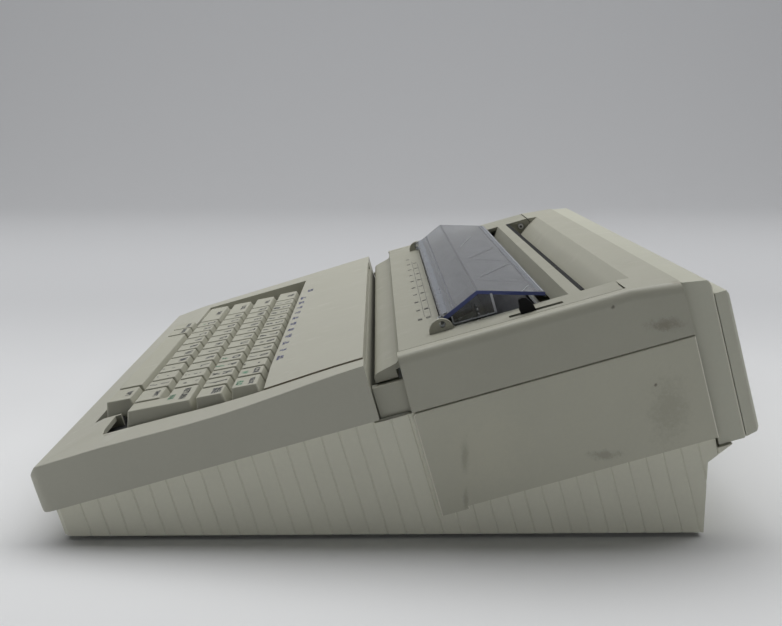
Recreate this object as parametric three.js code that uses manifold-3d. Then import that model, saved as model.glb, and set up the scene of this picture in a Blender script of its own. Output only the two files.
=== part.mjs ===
// Electronic typewriter with a daisy print wheel, in millimetres, +Z up.
// The operator sits on the -Y side and +X is the operator's right. The origin is on the
// table, midway between the sides and midway between front and back.
//
// Most of the machine follows the slope of its deck, so it is drawn in a deck frame that
// is turned about X. There S runs back along the deck from the front top corner, and H
// stands square to the deck, with the flat top of the machine at H = 0.

import * as THREE from 'three';
import { ConvexGeometry } from 'three/addons/geometries/ConvexGeometry.js';
import { mergeVertices } from 'three/addons/utils/BufferGeometryUtils.js';
import Module from 'manifold-3d';

const wasm = await Module();
wasm.setup();

// Driving dimensions of the whole machine
const KEY_PITCH = 19.05;
const KEY_COLUMNS = 15.2;         // key widths side by side in the widest row
const KEY_ROWS = 5;
const LEFT_MARGIN_WIDTH = 87;
const RIGHT_MARGIN_WIDTH = 19.44;
const CASE_WIDTH = KEY_COLUMNS * KEY_PITCH + LEFT_MARGIN_WIDTH + RIGHT_MARGIN_WIDTH;
const DECK_SLOPE_DEGREES = 15.9;
const KEY_SLOPE_DEGREES = 11.1;
const DECK_FRONT_HEIGHT = 45.2;   // table to the deck plane at its front edge
const DECK_FRONT_Y = -189.05;     // front edge of the deck plane, from the middle
const FOOT_HEIGHT = 2;
const WALL = 2.6;
const CLEARANCE = 0.3;            // between pieces that touch
const SEAM = 0.6;                 // open joint between mouldings
const OVERRUN = 5;                // how far a cutting block reaches past what it cuts
const MERGE_DISTANCE = 0.001;
const SIMPLIFY_DISTANCE = 0.01;   // slivers left by joining and cutting are tidied to this

// Driving lengths along the deck, each added to the one before it
const BEFORE_KEYS = 22;           // deck's front edge to the mouth of the well
const WELL_MARGINS = 6.75;        // spare length of the well before and behind the keys
const DECK_PANEL_LENGTH = 55;
const LIP_GAP = 3;                // dark gap between the housing and the top cover's lip
const LIP_LENGTH = 15;
const REAR_CASE_LENGTH = 148;
const REAR_COVER_LENGTH = 15.4;
const REAR_PANEL_LENGTH = 8.2;
const WELL_REAR = BEFORE_KEYS + KEY_ROWS * KEY_PITCH + WELL_MARGINS;
const HOUSING_LENGTH = WELL_REAR + DECK_PANEL_LENGTH;
const LIP_START = HOUSING_LENGTH + LIP_GAP;
const REAR_CASE_START = LIP_START + LIP_LENGTH;
const REAR_CASE_END = REAR_CASE_START + REAR_CASE_LENGTH;
const REAR_COVER_END = REAR_CASE_END + REAR_COVER_LENGTH;
const REAR_PANEL_END = REAR_COVER_END + REAR_PANEL_LENGTH;

// Driving depths below the deck plane
const SPLIT_DEPTH = 30;           // joint between the front case and the skirt
const REAR_SPLIT_DEPTH = 31;      // joint between the rear case and the side panels
const SIDE_PANEL_DEPTH = 88;
const REAR_COVER_DEPTH = 93.4;

const HALF_WIDTH = CASE_WIDTH / 2;

// Widths measured in from the sides of the case to what lies inside it
const IN_FROM_LEFT = {
  well: 40, wellStep: 128, wellShelf: 82, opening: 44, plate: 48, frame: 37, platen: 48, belt: 62,
  inlet: 68, board: 68,
};
const IN_FROM_RIGHT = {
  well: 15, wellStep: 46, opening: 31, lever: 17.2, plate: 12, frame: 29, platen: 38, belt: 50,
  transformer: 63,
};

// Lengths measured back from the front edge of the rear case to what lies behind it
const BACK = {
  frame: -9, crossbar: -8, belt: -1.4, carriage: 5, cassette: 6, guideRail: 11.5, ear: 25.3,
  openingFront: 26, clearHinge: 26.5, motor: 25, hammer: 25, hammerGuide: 29, rail: 39,
  printWheel: 52.6, slot: 61, leverTop: 71, platen: 73, leverPivot: 81, openingRear: 90,
  openingBar: 102.5, frameRear: 103, chuteFoot: 104.2, hinge: 114.3, flatEnd: 122.5, chuteTop: 129,
  mainsSwitch: 115,
};

const slope = THREE.MathUtils.degToRad(DECK_SLOPE_DEGREES);
const keyTilt = THREE.MathUtils.degToRad(KEY_SLOPE_DEGREES - DECK_SLOPE_DEGREES);
const quarterTurn = Math.PI / 2;
const halfTurn = Math.PI;
const fullTurn = 2 * Math.PI;

// Frames

function toDeck(y, z) {
  const across = y - DECK_FRONT_Y;
  const up = z - DECK_FRONT_HEIGHT;
  return [
    across * Math.cos(slope) + up * Math.sin(slope),
    up * Math.cos(slope) - across * Math.sin(slope),
  ];
}

// Depth below the deck of a level plane at height z, at a place s along the deck
function levelAt(s, z) {
  return (z - DECK_FRONT_HEIGHT - s * Math.sin(slope)) / Math.cos(slope);
}

const intoDeck = new THREE.Matrix4()
  .makeRotationX(-slope)
  .multiply(new THREE.Matrix4().makeTranslation(0, -DECK_FRONT_Y, -DECK_FRONT_HEIGHT));

// Solids: three.js geometries turned into closed bodies that can be joined and cut

function solidOf(geometry) {
  const bare = geometry.clone();
  bare.deleteAttribute('normal');
  bare.deleteAttribute('uv');
  const merged = mergeVertices(bare, MERGE_DISTANCE);
  return new wasm.Manifold(new wasm.Mesh({
    numProp: 3,
    vertProperties: new Float32Array(merged.attributes.position.array),
    triVerts: new Uint32Array(merged.index.array),
  }));
}

function geometryOf(solid) {
  const mesh = solid.simplify(SIMPLIFY_DISTANCE).getMesh();
  const geometry = new THREE.BufferGeometry();
  geometry.setAttribute('position', new THREE.BufferAttribute(new Float32Array(mesh.vertProperties), 3));
  geometry.setIndex(new THREE.BufferAttribute(new Uint32Array(mesh.triVerts), 1));
  return geometry;
}

function join(solids) {
  return solids.reduce((sum, solid) => sum.add(solid));
}

function cut(solid, tools) {
  return tools.reduce((rest, tool) => rest.subtract(tool), solid);
}

function block(x0, x1, s0, s1, h0, h1) {
  const box = new THREE.BoxGeometry(x1 - x0, s1 - s0, h1 - h0);
  box.translate((x0 + x1) / 2, (s0 + s1) / 2, (h0 + h1) / 2);
  return solidOf(box);
}

// A block laid out in the level frame of the table, for use among deck solids
function levelBlock(x0, x1, y0, y1, z0, z1) {
  const box = new THREE.BoxGeometry(x1 - x0, y1 - y0, z1 - z0);
  box.translate((x0 + x1) / 2, (y0 + y1) / 2, (z0 + z1) / 2);
  box.applyMatrix4(intoDeck);
  return solidOf(box);
}

function shapeOf(points) {
  return new THREE.Shape(points.map(([a, b]) => new THREE.Vector2(a, b)));
}

function extrudeOf(shape, depth) {
  return new THREE.ExtrudeGeometry(shape, { depth, bevelEnabled: false, curveSegments: 6 });
}

const acrossBasis = new THREE.Matrix4().makeBasis(
  new THREE.Vector3(0, 1, 0), new THREE.Vector3(0, 0, 1), new THREE.Vector3(1, 0, 0));
const alongBasis = new THREE.Matrix4().makeBasis(
  new THREE.Vector3(1, 0, 0), new THREE.Vector3(0, 0, 1), new THREE.Vector3(0, -1, 0));

// An outline of [S, H] points carried across the machine from x0 to x1
function acrossFrom(points, x0, x1) {
  const body = extrudeOf(shapeOf(points), x1 - x0);
  body.applyMatrix4(acrossBasis);
  body.translate(x0, 0, 0);
  return solidOf(body);
}

// An outline of [X, H] points carried back along the deck from s0 to s1
function alongFrom(points, s0, s1) {
  const body = extrudeOf(shapeOf(points), s1 - s0);
  body.applyMatrix4(alongBasis);
  body.translate(0, s1, 0);
  return solidOf(body);
}

// An outline of [X, S] points carried up square to the deck from h0 to h1
function upFrom(points, h0, h1) {
  const body = extrudeOf(shapeOf(points), h1 - h0);
  body.translate(0, 0, h0);
  return solidOf(body);
}

function rodAcross(s, h, radius, x0, x1, sides = 24) {
  const rod = new THREE.CylinderGeometry(radius, radius, x1 - x0, sides);
  rod.rotateZ(quarterTurn);
  rod.translate((x0 + x1) / 2, s, h);
  return solidOf(rod);
}

function rodAlong(x, h, radius, s0, s1, sides = 24) {
  const rod = new THREE.CylinderGeometry(radius, radius, s1 - s0, sides);
  rod.translate(x, (s0 + s1) / 2, h);
  return solidOf(rod);
}

// A round body turned about an axis across the machine, from [radius, x] points
function turnedAcross(profile, s, h, sides = 24) {
  const lathe = new THREE.LatheGeometry(profile.map(([r, x]) => new THREE.Vector2(r, x)), sides);
  lathe.rotateZ(-quarterTurn);
  lathe.translate(0, s, h);
  return solidOf(lathe);
}

// A rectangle in [X, S] with its two front corners rounded
function roundedPlan(half, s0, s1, radius) {
  const steps = 5;
  const points = [[half, s1], [-half, s1]];
  for (const side of [-1, 1]) {
    for (let i = 0; i <= steps; i += 1) {
      const share = side < 0 ? i / steps : 1 - i / steps;
      const angle = quarterTurn * share;
      const across = half - radius + radius * Math.cos(angle);
      points.push([side * across, s0 + radius - radius * Math.sin(angle)]);
    }
  }
  return points;
}

// Points on an arc in any plane, from one angle to another in radians
function arc(a, b, radius, from, to, steps) {
  const points = [];
  for (let i = 0; i <= steps; i += 1) {
    const angle = from + (to - from) * i / steps;
    points.push([a + radius * Math.cos(angle), b + radius * Math.sin(angle)]);
  }
  return points;
}

// The outline of a spur gear as [a, b] points round its axis
function gearOutline(teeth, module, phaseShare) {
  const TOOTH_SHARE = 0.238;
  const TIP_SHARE = 0.126;
  const TIP_HEIGHT_SHARE = 0.75;
  const ROOT_DEPTH_SHARE = 1.2;
  const pitchRadius = teeth * module / 2;
  const tip = pitchRadius + TIP_HEIGHT_SHARE * module;
  const root = pitchRadius - ROOT_DEPTH_SHARE * module;
  const points = [];
  for (let i = 0; i < teeth; i += 1) {
    const at = (i + phaseShare) * fullTurn / teeth;
    const wide = TOOTH_SHARE * fullTurn / teeth;
    const narrow = TIP_SHARE * fullTurn / teeth;
    points.push([root * Math.cos(at - wide), root * Math.sin(at - wide)]);
    points.push([tip * Math.cos(at - narrow), tip * Math.sin(at - narrow)]);
    points.push([tip * Math.cos(at + narrow), tip * Math.sin(at + narrow)]);
    points.push([root * Math.cos(at + wide), root * Math.sin(at + wide)]);
  }
  return points;
}

// Front upper case: a shell whose top falls away to the front and sides

const HOUSING = {
  frontFall: 5,        // how far the front edge lies below the deck plane
  frontLean: 5.6,      // how far the front face stands forward of the deck's edge
  // Profile of the front face: shares of the lean, at depths below the deck plane
  leanShares: [0, 0.68, 1, 1, 0.85],
  leanDepths: [5, 9, 19, 26, 28.5],
  footLeanShare: 0.6,
  sideBand: 22,        // width of the falling band beside the flat top
  frontBand: 28,
  cornerRadius: 8,
};
const WELL = {
  left: -HALF_WIDTH + IN_FROM_LEFT.well,
  right: HALF_WIDTH - IN_FROM_RIGHT.well,
  stepDepth: 16,       // how much further forward the well reaches at the space bar
  stepFront: BEFORE_KEYS,
  stepLeft: -HALF_WIDTH + IN_FROM_LEFT.wellStep,
  stepRight: HALF_WIDTH - IN_FROM_RIGHT.wellStep,
  rear: WELL_REAR,
  wall: 2,
  wallDepth: 16,
  shelfRight: -HALF_WIDTH + IN_FROM_LEFT.wellShelf,
  shelfThickness: 2,
};
WELL.front = WELL.stepFront + WELL.stepDepth;
const DECK_PANEL = { thickness: 2.6, ledge: 6, ledgeThickness: 2.4 };

function housingHull(inset) {
  const half = HALF_WIDTH - inset;
  const bottom = -SPLIT_DEPTH - (inset > 0 ? OVERRUN : 0);
  const points = [];
  for (const side of [-1, 1]) {
    for (const [i, leanShare] of HOUSING.leanShares.entries()) {
      const depth = HOUSING.leanDepths[i];
      points.push([side * half, inset - leanShare * HOUSING.frontLean, -depth - inset * (1 - leanShare)]);
    }
    const foot = inset > 0 ? 1 : HOUSING.footLeanShare;
    points.push([side * half, inset - foot * HOUSING.frontLean, bottom]);
    points.push([side * half, HOUSING_LENGTH - inset, -inset]);
    points.push([side * half, HOUSING_LENGTH - inset, bottom]);
    points.push([side * (HALF_WIDTH - HOUSING.sideBand), HOUSING.frontBand, -inset]);
  }
  return solidOf(new ConvexGeometry(points.map(([x, s, h]) => new THREE.Vector3(x, s, h))));
}

function wellOutline(grow) {
  return [
    [WELL.left - grow, WELL.front - grow],
    [WELL.stepLeft - grow, WELL.front - grow],
    [WELL.stepLeft - grow, WELL.stepFront - grow],
    [WELL.stepRight + grow, WELL.stepFront - grow],
    [WELL.stepRight + grow, WELL.front - grow],
    [WELL.right + grow, WELL.front - grow],
    [WELL.right + grow, WELL.rear + grow],
    [WELL.left - grow, WELL.rear + grow],
  ];
}

function keyboardHousing() {
  const reach = -HOUSING.frontLean - OVERRUN;
  const plan = upFrom(
    roundedPlan(HALF_WIDTH, -HOUSING.frontLean, HOUSING_LENGTH, HOUSING.cornerRadius),
    -SPLIT_DEPTH - OVERRUN, OVERRUN);
  const shell = housingHull(0).intersect(plan).subtract(housingHull(WALL));
  const wellDepth = WELL.wallDepth;
  const walls = upFrom(wellOutline(WELL.wall), -wellDepth, -WALL / 2);
  const underKeys = keyBlock(
    -HALF_WIDTH, HALF_WIDTH, -HOUSING_LENGTH, HOUSING_LENGTH,
    -SPLIT_DEPTH - OVERRUN, -KEYS.plateDepth + CLEARANCE);
  const shelfBottom = -KEYS.plateDepth + CLEARANCE;
  const shelf = keyBlock(
    WELL.left - WELL.wall, WELL.shelfRight, -2 * KEYS.originS, 2 * KEYS.originS,
    shelfBottom, shelfBottom + WELL.shelfThickness,
  ).intersect(block(
    WELL.left - WELL.wall, WELL.shelfRight, WELL.front - WELL.wall, WELL.rear + WELL.wall,
    -SPLIT_DEPTH, OVERRUN));
  const ramp = { length: 3, depth: 8 };
  const rampCut = acrossFrom([
    [WELL.front - ramp.length, OVERRUN],
    [WELL.front - ramp.length, -HOUSING.frontFall],
    [WELL.front + ramp.length / 2, -ramp.depth - HOUSING.frontFall],
    [WELL.front + OVERRUN, OVERRUN],
  ], WELL.stepRight + WELL.wall, WELL.right);
  const ledgeTop = -DECK_PANEL.thickness - CLEARANCE;
  const ledgeBottom = ledgeTop - DECK_PANEL.ledgeThickness;
  const ledges = [-1, 1].map((side) => {
    const edge = side < 0 ? WELL.left : WELL.right;
    const inner = edge - side * DECK_PANEL.ledge;
    const outer = edge + side * WALL;
    return block(
      Math.min(inner, outer), Math.max(inner, outer), WELL.rear + WELL.wall, HOUSING_LENGTH - WALL,
      ledgeBottom, ledgeTop);
  });
  const ledgeRisers = [-1, 1].map((side) => {
    const edge = side < 0 ? WELL.left : WELL.right;
    return block(
      Math.min(edge, edge + side * WALL), Math.max(edge, edge + side * WALL),
      WELL.rear, HOUSING_LENGTH - WALL, ledgeBottom, -WALL / 2);
  });
  const rearTop = -DECK_PANEL.thickness - CLEARANCE - DECK_PANEL.ledgeThickness;
  const panelOpening = block(
    WELL.left, WELL.right, WELL.rear - OVERRUN, HOUSING_LENGTH + OVERRUN, rearTop, OVERRUN);
  const seat = block(
    WELL.left, WELL.right, WELL.rear - WELL.wall, WELL.rear + DECK_PANEL.ledge, ledgeBottom, ledgeTop);
  const wellWalls = cut(walls.subtract(upFrom(wellOutline(0), -wellDepth - OVERRUN, OVERRUN)), [underKeys]);
  const wellOpening = upFrom(wellOutline(0), -2 * WALL - HOUSING.frontFall, OVERRUN);
  const frontSkin = block(-HALF_WIDTH, HALF_WIDTH, reach, HOUSING_LENGTH, -SPLIT_DEPTH, OVERRUN);
  const top = cut(shell.intersect(frontSkin), [wellOpening, panelOpening]);
  const wallsBelowTop = cut(wellWalls, [block(
    WELL.left - WELL.wall - OVERRUN, WELL.right + WELL.wall + OVERRUN, WELL.rear, WELL.rear + OVERRUN,
    ledgeTop, OVERRUN)]);
  const rearWallSeat = block(
    WELL.left - WALL, WELL.right + WALL, HOUSING_LENGTH - WALL - DECK_PANEL.ledge,
    HOUSING_LENGTH - WALL / 2, ledgeBottom, ledgeTop);
  return cut(
    join([top, wallsBelowTop, shelf, ...ledges, ...ledgeRisers, seat, rearWallSeat]), [rampCut]);
}

// The flat plate between the well and the rear edge of the housing
function deckPanel() {
  return block(
    WELL.left + SEAM, WELL.right - SEAM, WELL.rear, HOUSING_LENGTH - CLEARANCE,
    -DECK_PANEL.thickness, 0);
}

// Bottom case: floor, ribbed skirt and the plain wall behind the side panels

const SKIRT = {
  inset: 2,
  front: 1.8,
  grooveWidth: 1.3,
  grooveDepth: 1.1,
  groovePitch: 9.36,
  firstGroove: 16.3,
  cornerRadius: 3,
};
const TRAY = { floor: 3, wall: 3, rearOverhang: 5.44, flareLength: 12.3, flareHeight: 41 };
TRAY.rearY = DECK_FRONT_Y + REAR_COVER_END * Math.cos(slope) + TRAY.rearOverhang;
TRAY.flareY = TRAY.rearY + TRAY.flareLength;
const INLET = {
  x: -HALF_WIDTH + IN_FROM_LEFT.inlet,
  width: 28,
  height: 21,
  z: 26,
  depth: 18,
  socketWidth: 22,
  socketHeight: 15,
  socketDepth: 12,
};
const SWITCH = { s: REAR_CASE_START + BACK.mainsSwitch, h: -62, length: 20, height: 12, depth: 8 };

function skirtPlan() {
  const half = HALF_WIDTH - SKIRT.inset;
  const end = REAR_COVER_END;
  const count = Math.floor((REAR_CASE_END - SKIRT.firstGroove) / SKIRT.groovePitch);
  const right = [];
  for (let i = 0; i <= count; i += 1) {
    const s = SKIRT.firstGroove + i * SKIRT.groovePitch;
    right.push([half, s - SKIRT.grooveWidth / 2]);
    right.push([half - SKIRT.grooveDepth, s]);
    right.push([half, s + SKIRT.grooveWidth / 2]);
  }
  const left = right.map(([x, s]) => [-x, s]).reverse();
  return [
    ...right, [half, end], [-half, end], ...left,
    [-half, SKIRT.front + SKIRT.cornerRadius],
    [-half + SKIRT.cornerRadius, SKIRT.front],
    [half - SKIRT.cornerRadius, SKIRT.front],
    [half, SKIRT.front + SKIRT.cornerRadius],
  ];
}

function traySide(inset) {
  const base = FOOT_HEIGHT + inset;
  const top = -REAR_SPLIT_DEPTH - SEAM + (inset > 0 ? 2 * OVERRUN : 0);
  const front = SKIRT.front - OVERRUN;
  const flareS = (TRAY.flareY - DECK_FRONT_Y - REAR_COVER_DEPTH * Math.sin(slope)) / Math.cos(slope);
  const wallEnd = REAR_CASE_END - WALL / 2;
  return [
    [front, top],
    [front, levelAt(front, base)],
    toDeck(TRAY.rearY - inset, base),
    toDeck(TRAY.rearY - inset, TRAY.flareHeight),
    [flareS - inset, -REAR_COVER_DEPTH - SEAM - inset],
    [wallEnd - inset, -REAR_COVER_DEPTH - SEAM - inset],
    [wallEnd - inset, top],
  ];
}

function baseTray() {
  const halfInside = HALF_WIDTH - SKIRT.inset - TRAY.wall;
  const lowest = -2 * SIDE_PANEL_DEPTH;
  const skirt = upFrom(skirtPlan(), lowest, -REAR_SPLIT_DEPTH - SEAM);
  const outer = skirt.intersect(acrossFrom(traySide(0), -HALF_WIDTH, HALF_WIDTH));
  const inside = block(
    -halfInside, halfInside, SKIRT.front + TRAY.wall, REAR_CASE_END - TRAY.wall, lowest, OVERRUN);
  const hollow = inside.intersect(acrossFrom(traySide(TRAY.floor), -halfInside, halfInside));
  const inletHole = levelBlock(
    INLET.x - INLET.width / 2 - CLEARANCE, INLET.x + INLET.width / 2 + CLEARANCE,
    TRAY.rearY - TRAY.floor - OVERRUN, TRAY.rearY + OVERRUN,
    INLET.z - INLET.height / 2 - CLEARANCE, INLET.z + INLET.height / 2 + CLEARANCE);
  const switchHole = block(
    -HALF_WIDTH, -halfInside + OVERRUN,
    SWITCH.s - SWITCH.length / 2 - CLEARANCE, SWITCH.s + SWITCH.length / 2 + CLEARANCE,
    SWITCH.h - SWITCH.height / 2 - CLEARANCE, SWITCH.h + SWITCH.height / 2 + CLEARANCE);
  const standoffs = BOARD.corners.map(([x, y]) => levelBlock(
    x - BOARD.standoff / 2, x + BOARD.standoff / 2, y - BOARD.standoff / 2, y + BOARD.standoff / 2,
    FOOT_HEIGHT + TRAY.floor / 2, BOARD.z - CLEARANCE));
  return join([cut(outer, [hollow, inletHole, switchHole]), ...standoffs]);
}

function sidePanel(side) {
  const tabLength = 15;
  const tabDrop = 1.6;
  const cornerRadius = 1.5;
  const top = -REAR_SPLIT_DEPTH - SEAM;
  const frontLead = 1;
  const front = REAR_CASE_START - frontLead;
  const outline = [
    [front + cornerRadius, top], [front, top - cornerRadius],
    [front, -SIDE_PANEL_DEPTH - tabDrop],
    [front + tabLength, -SIDE_PANEL_DEPTH - tabDrop],
    [front + tabLength, -SIDE_PANEL_DEPTH],
    [REAR_CASE_END + SEAM, -SIDE_PANEL_DEPTH],
    [REAR_CASE_END + SEAM, top],
  ];
  const inner = HALF_WIDTH - SKIRT.inset + CLEARANCE;
  const x0 = side > 0 ? inner : -HALF_WIDTH;
  const x1 = side > 0 ? HALF_WIDTH : -inner;
  const panel = acrossFrom(outline, x0, x1);
  if (side > 0) return panel;
  const grow = CLEARANCE + WALL / 2;
  return panel.subtract(block(
    -HALF_WIDTH - OVERRUN, -inner + OVERRUN,
    SWITCH.s - SWITCH.length / 2 - grow, SWITCH.s + SWITCH.length / 2 + grow,
    SWITCH.h - SWITCH.height / 2 - grow, SWITCH.h + SWITCH.height / 2 + grow));
}

// Hinge of the top cover, shared by its arms, the rear case and the hinge pins
const HINGE = { s: REAR_CASE_START + BACK.hinge, h: -5, armRadius: 8, armGap: 0.8, pin: 2.5, pinLength: 18 };

// The print opening in the top cover, shared by the covers and the rear case
const OPENING = {
  left: -HALF_WIDTH + IN_FROM_LEFT.opening,
  right: HALF_WIDTH - IN_FROM_RIGHT.opening,
  front: REAR_CASE_START + BACK.openingFront,
  rear: REAR_CASE_START + BACK.openingRear,
  barRear: REAR_CASE_START + BACK.openingBar,
};
const FLANGE_DEPTH = 8;
const TOP = { sideRim: 9.4, thickness: 2.6, lipDepth: 13, barDepth: 12 };
TOP.halfWidth = HALF_WIDTH - TOP.sideRim;

// The roll of the top cover's lip: lengths back from its front edge, and depths below the deck
const LIP = {
  outerLengths: [0, 0, 0.6, 2, 6, 10, 13, 14.4, 15, 15.4, 16],
  outerDepths: [13, 10.2, 8.9, 8.1, 7.1, 6.3, 5.5, 4.4, 2.6, 0.6, 0],
  innerLengths: [18.4, 17.6, 15.5, 11, 4.5, 2.6, 2.6],
  innerDepths: [2.6, 6.2, 8, 9, 10.6, 11.8, 13],
  cheekEnd: 12,
  cheekThickness: 2.6,
};

// The paper chute of the rear case: lengths back from its foot, and depths below the deck
const CHUTE = {
  foot: REAR_CASE_START + BACK.chuteFoot,
  topS: REAR_CASE_START + BACK.chuteTop,
  thickness: 2.4,
  upperLengths: [16.8, 10.3, 4.8, 1.4, 0],
  upperDepths: [5.2, 9.6, 14.2, 19, 25],
  lowerLengths: [2.4, 3.8, 6.8, 11.8, 17.8, 25.8],
  lowerDepths: [25, 20, 16.4, 12.4, 8.2, 4.4],
};

function profile(start, lengths, depths) {
  return lengths.map((length, i) => [start + length, -depths[i]]);
}

// Rear upper case: side walls with a rim, the paper chute and the rear top
function rearCase() {
  const rim = { width: TOP.sideRim - SEAM, fall: 3, flatEnd: REAR_CASE_START + BACK.flatEnd, ledge: 4 };
  const wallLean = 1;
  const wallOutline = [
    [REAR_CASE_START, 0], [REAR_CASE_START - wallLean, -REAR_SPLIT_DEPTH],
    [REAR_CASE_END, -REAR_SPLIT_DEPTH], [REAR_CASE_END, -rim.fall], [rim.flatEnd, 0],
  ];
  const pieces = [];
  const recess = { inset: 5, thickness: 6.5, top: -14.2 };
  const ledgeEnd = HINGE.s - 2 * HINGE.armRadius - LIP_GAP / 2;
  for (const side of [-1, 1]) {
    const at = (a, b) => [Math.min(side * a, side * b), Math.max(side * a, side * b)];
    const [w0, w1] = at(HALF_WIDTH - WALL, HALF_WIDTH);
    pieces.push(acrossFrom(wallOutline, w0, w1));
    const [r0, r1] = at(HALF_WIDTH - rim.width, HALF_WIDTH - WALL / 2);
    const rimTop = acrossFrom([
      [REAR_CASE_START, 0], [REAR_CASE_START, -WALL], [rim.flatEnd, -WALL],
      [REAR_CASE_END, -WALL - rim.fall], [REAR_CASE_END, -rim.fall], [rim.flatEnd, 0],
    ], r0, r1);
    pieces.push(rimTop);
    const [l0, l1] = at(HALF_WIDTH - rim.width - rim.ledge, HALF_WIDTH - WALL / 2);
    const ledgeTop = -TOP.thickness - CLEARANCE;
    pieces.push(block(
      l0, l1, REAR_CASE_START + 2 * WALL, ledgeEnd, ledgeTop - WALL, ledgeTop));
    const [p0, p1] = at(HALF_WIDTH - recess.inset - recess.thickness, HALF_WIDTH - recess.inset);
    pieces.push(block(p0, p1, HOUSING_LENGTH + SEAM, REAR_CASE_START + WALL, -REAR_SPLIT_DEPTH, recess.top));
    const [j0, j1] = at(HALF_WIDTH - recess.inset - recess.thickness, HALF_WIDTH - WALL / 2);
    pieces.push(block(j0, j1, REAR_CASE_START, REAR_CASE_START + WALL, -REAR_SPLIT_DEPTH, recess.top));
    const [q0, q1] = at(TOP.halfWidth - HINGE.pinLength, HALF_WIDTH - WALL / 2);
    pieces.push(rodAcross(HINGE.s, HINGE.h, HINGE.pin, q0, q1, 20));
  }
  const chuteTopH = -rim.fall * (CHUTE.topS - rim.flatEnd) / (REAR_CASE_END - rim.flatEnd);
  const half = HALF_WIDTH - WALL / 2;
  const upper = [
    [REAR_CASE_END, -rim.fall], [CHUTE.topS, chuteTopH],
    ...profile(CHUTE.foot, CHUTE.upperLengths, CHUTE.upperDepths),
  ];
  const lower = [
    ...profile(CHUTE.foot, CHUTE.lowerLengths, CHUTE.lowerDepths), [REAR_CASE_END - WALL, -rim.fall - WALL],
    [REAR_CASE_END - WALL, -REAR_SPLIT_DEPTH], [REAR_CASE_END, -REAR_SPLIT_DEPTH],
  ];
  const armInside = WALL;
  pieces.push(acrossFrom([...upper, ...lower], OPENING.left + CLEARANCE, OPENING.right - CLEARANCE));
  const gapRadius = HINGE.armRadius + HINGE.armGap;
  const topAngle = Math.asin(-HINGE.h / gapRadius);
  const round = arc(HINGE.s, HINGE.h, gapRadius, topAngle, -quarterTurn, 8);
  const backing = arc(HINGE.s, HINGE.h, gapRadius + armInside, -quarterTurn, -topAngle, 5);
  const endOutline = [
    ...round, ...backing, [CHUTE.topS + WALL, -2 * WALL], [REAR_CASE_END - WALL, -rim.fall - WALL],
    [REAR_CASE_END - WALL, -REAR_SPLIT_DEPTH], [REAR_CASE_END, -REAR_SPLIT_DEPTH], [REAR_CASE_END, -rim.fall],
    [rim.flatEnd, 0],
  ];
  const overlap = WALL / 2;
  pieces.push(acrossFrom(endOutline, -half, OPENING.left + overlap));
  pieces.push(acrossFrom(endOutline, OPENING.right - overlap, half));
  return join(pieces);
}

// Rear cover: a shallow shell inset from the sides
function rearCover() {
  const inset = 4;
  const topFall = 6.5;
  const topStart = 4;
  const wrap = 2.5;
  const half = HALF_WIDTH - inset;
  const start = REAR_CASE_END + SEAM;
  const outer = [
    [start, -topStart], [REAR_COVER_END - wrap / 2, -topFall], [REAR_COVER_END, -topFall - wrap],
    [REAR_COVER_END, -REAR_COVER_DEPTH], [start, -REAR_COVER_DEPTH],
  ];
  const inner = [
    [start - OVERRUN, -topStart - WALL], [REAR_COVER_END - wrap - WALL, -topFall - WALL],
    [REAR_COVER_END - WALL, -topFall - wrap - WALL / 2], [REAR_COVER_END - WALL, -REAR_COVER_DEPTH + WALL],
    [start - OVERRUN, -REAR_COVER_DEPTH + WALL],
  ];
  return acrossFrom(outer, -half, half).subtract(acrossFrom(inner, -half + WALL, half - WALL));
}

// The raised panel on the back of the rear cover
function rearPanel() {
  const inset = 5;
  const half = HALF_WIDTH - inset;
  const top = -14.3;
  const bottom = -REAR_COVER_DEPTH;
  const edge = 1.4;
  const start = REAR_COVER_END + CLEARANCE;
  const outline = [
    [start, top], [REAR_PANEL_END - edge, top], [REAR_PANEL_END, top - 2 * edge],
    [REAR_PANEL_END, bottom + 2 * edge], [REAR_PANEL_END - edge, bottom + edge], [start, bottom],
  ];
  const corner = 2;
  const plan = [
    [half, start], [half, REAR_PANEL_END - corner], [half - corner, REAR_PANEL_END],
    [-half + corner, REAR_PANEL_END], [-half, REAR_PANEL_END - corner], [-half, start],
  ];
  return acrossFrom(outline, -half, half)
    .intersect(upFrom(plan, bottom - OVERRUN, top + OVERRUN));
}

// Top cover: front lip, flat top round the print opening, rear bar and hinge arms

const EAR = { s: REAR_CASE_START + BACK.ear, radius: 6.8, thickness: 3, offset: 1 };
const CLEAR_HINGE = { s: REAR_CASE_START + BACK.clearHinge, h: 3.6, pin: 1.5, lug: 3, lugWidth: 3 };
const LEVER = {
  x: HALF_WIDTH - IN_FROM_RIGHT.lever,
  thickness: 3.6,
  pivotS: REAR_CASE_START + BACK.leverPivot,
  pivotH: -44,
  topS: REAR_CASE_START + BACK.leverTop,
  topH: 6,
  width: 8,
};
const SLOT = { front: REAR_CASE_START + BACK.slot, rear: REAR_CASE_START + BACK.openingRear, width: 4.8 };

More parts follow.
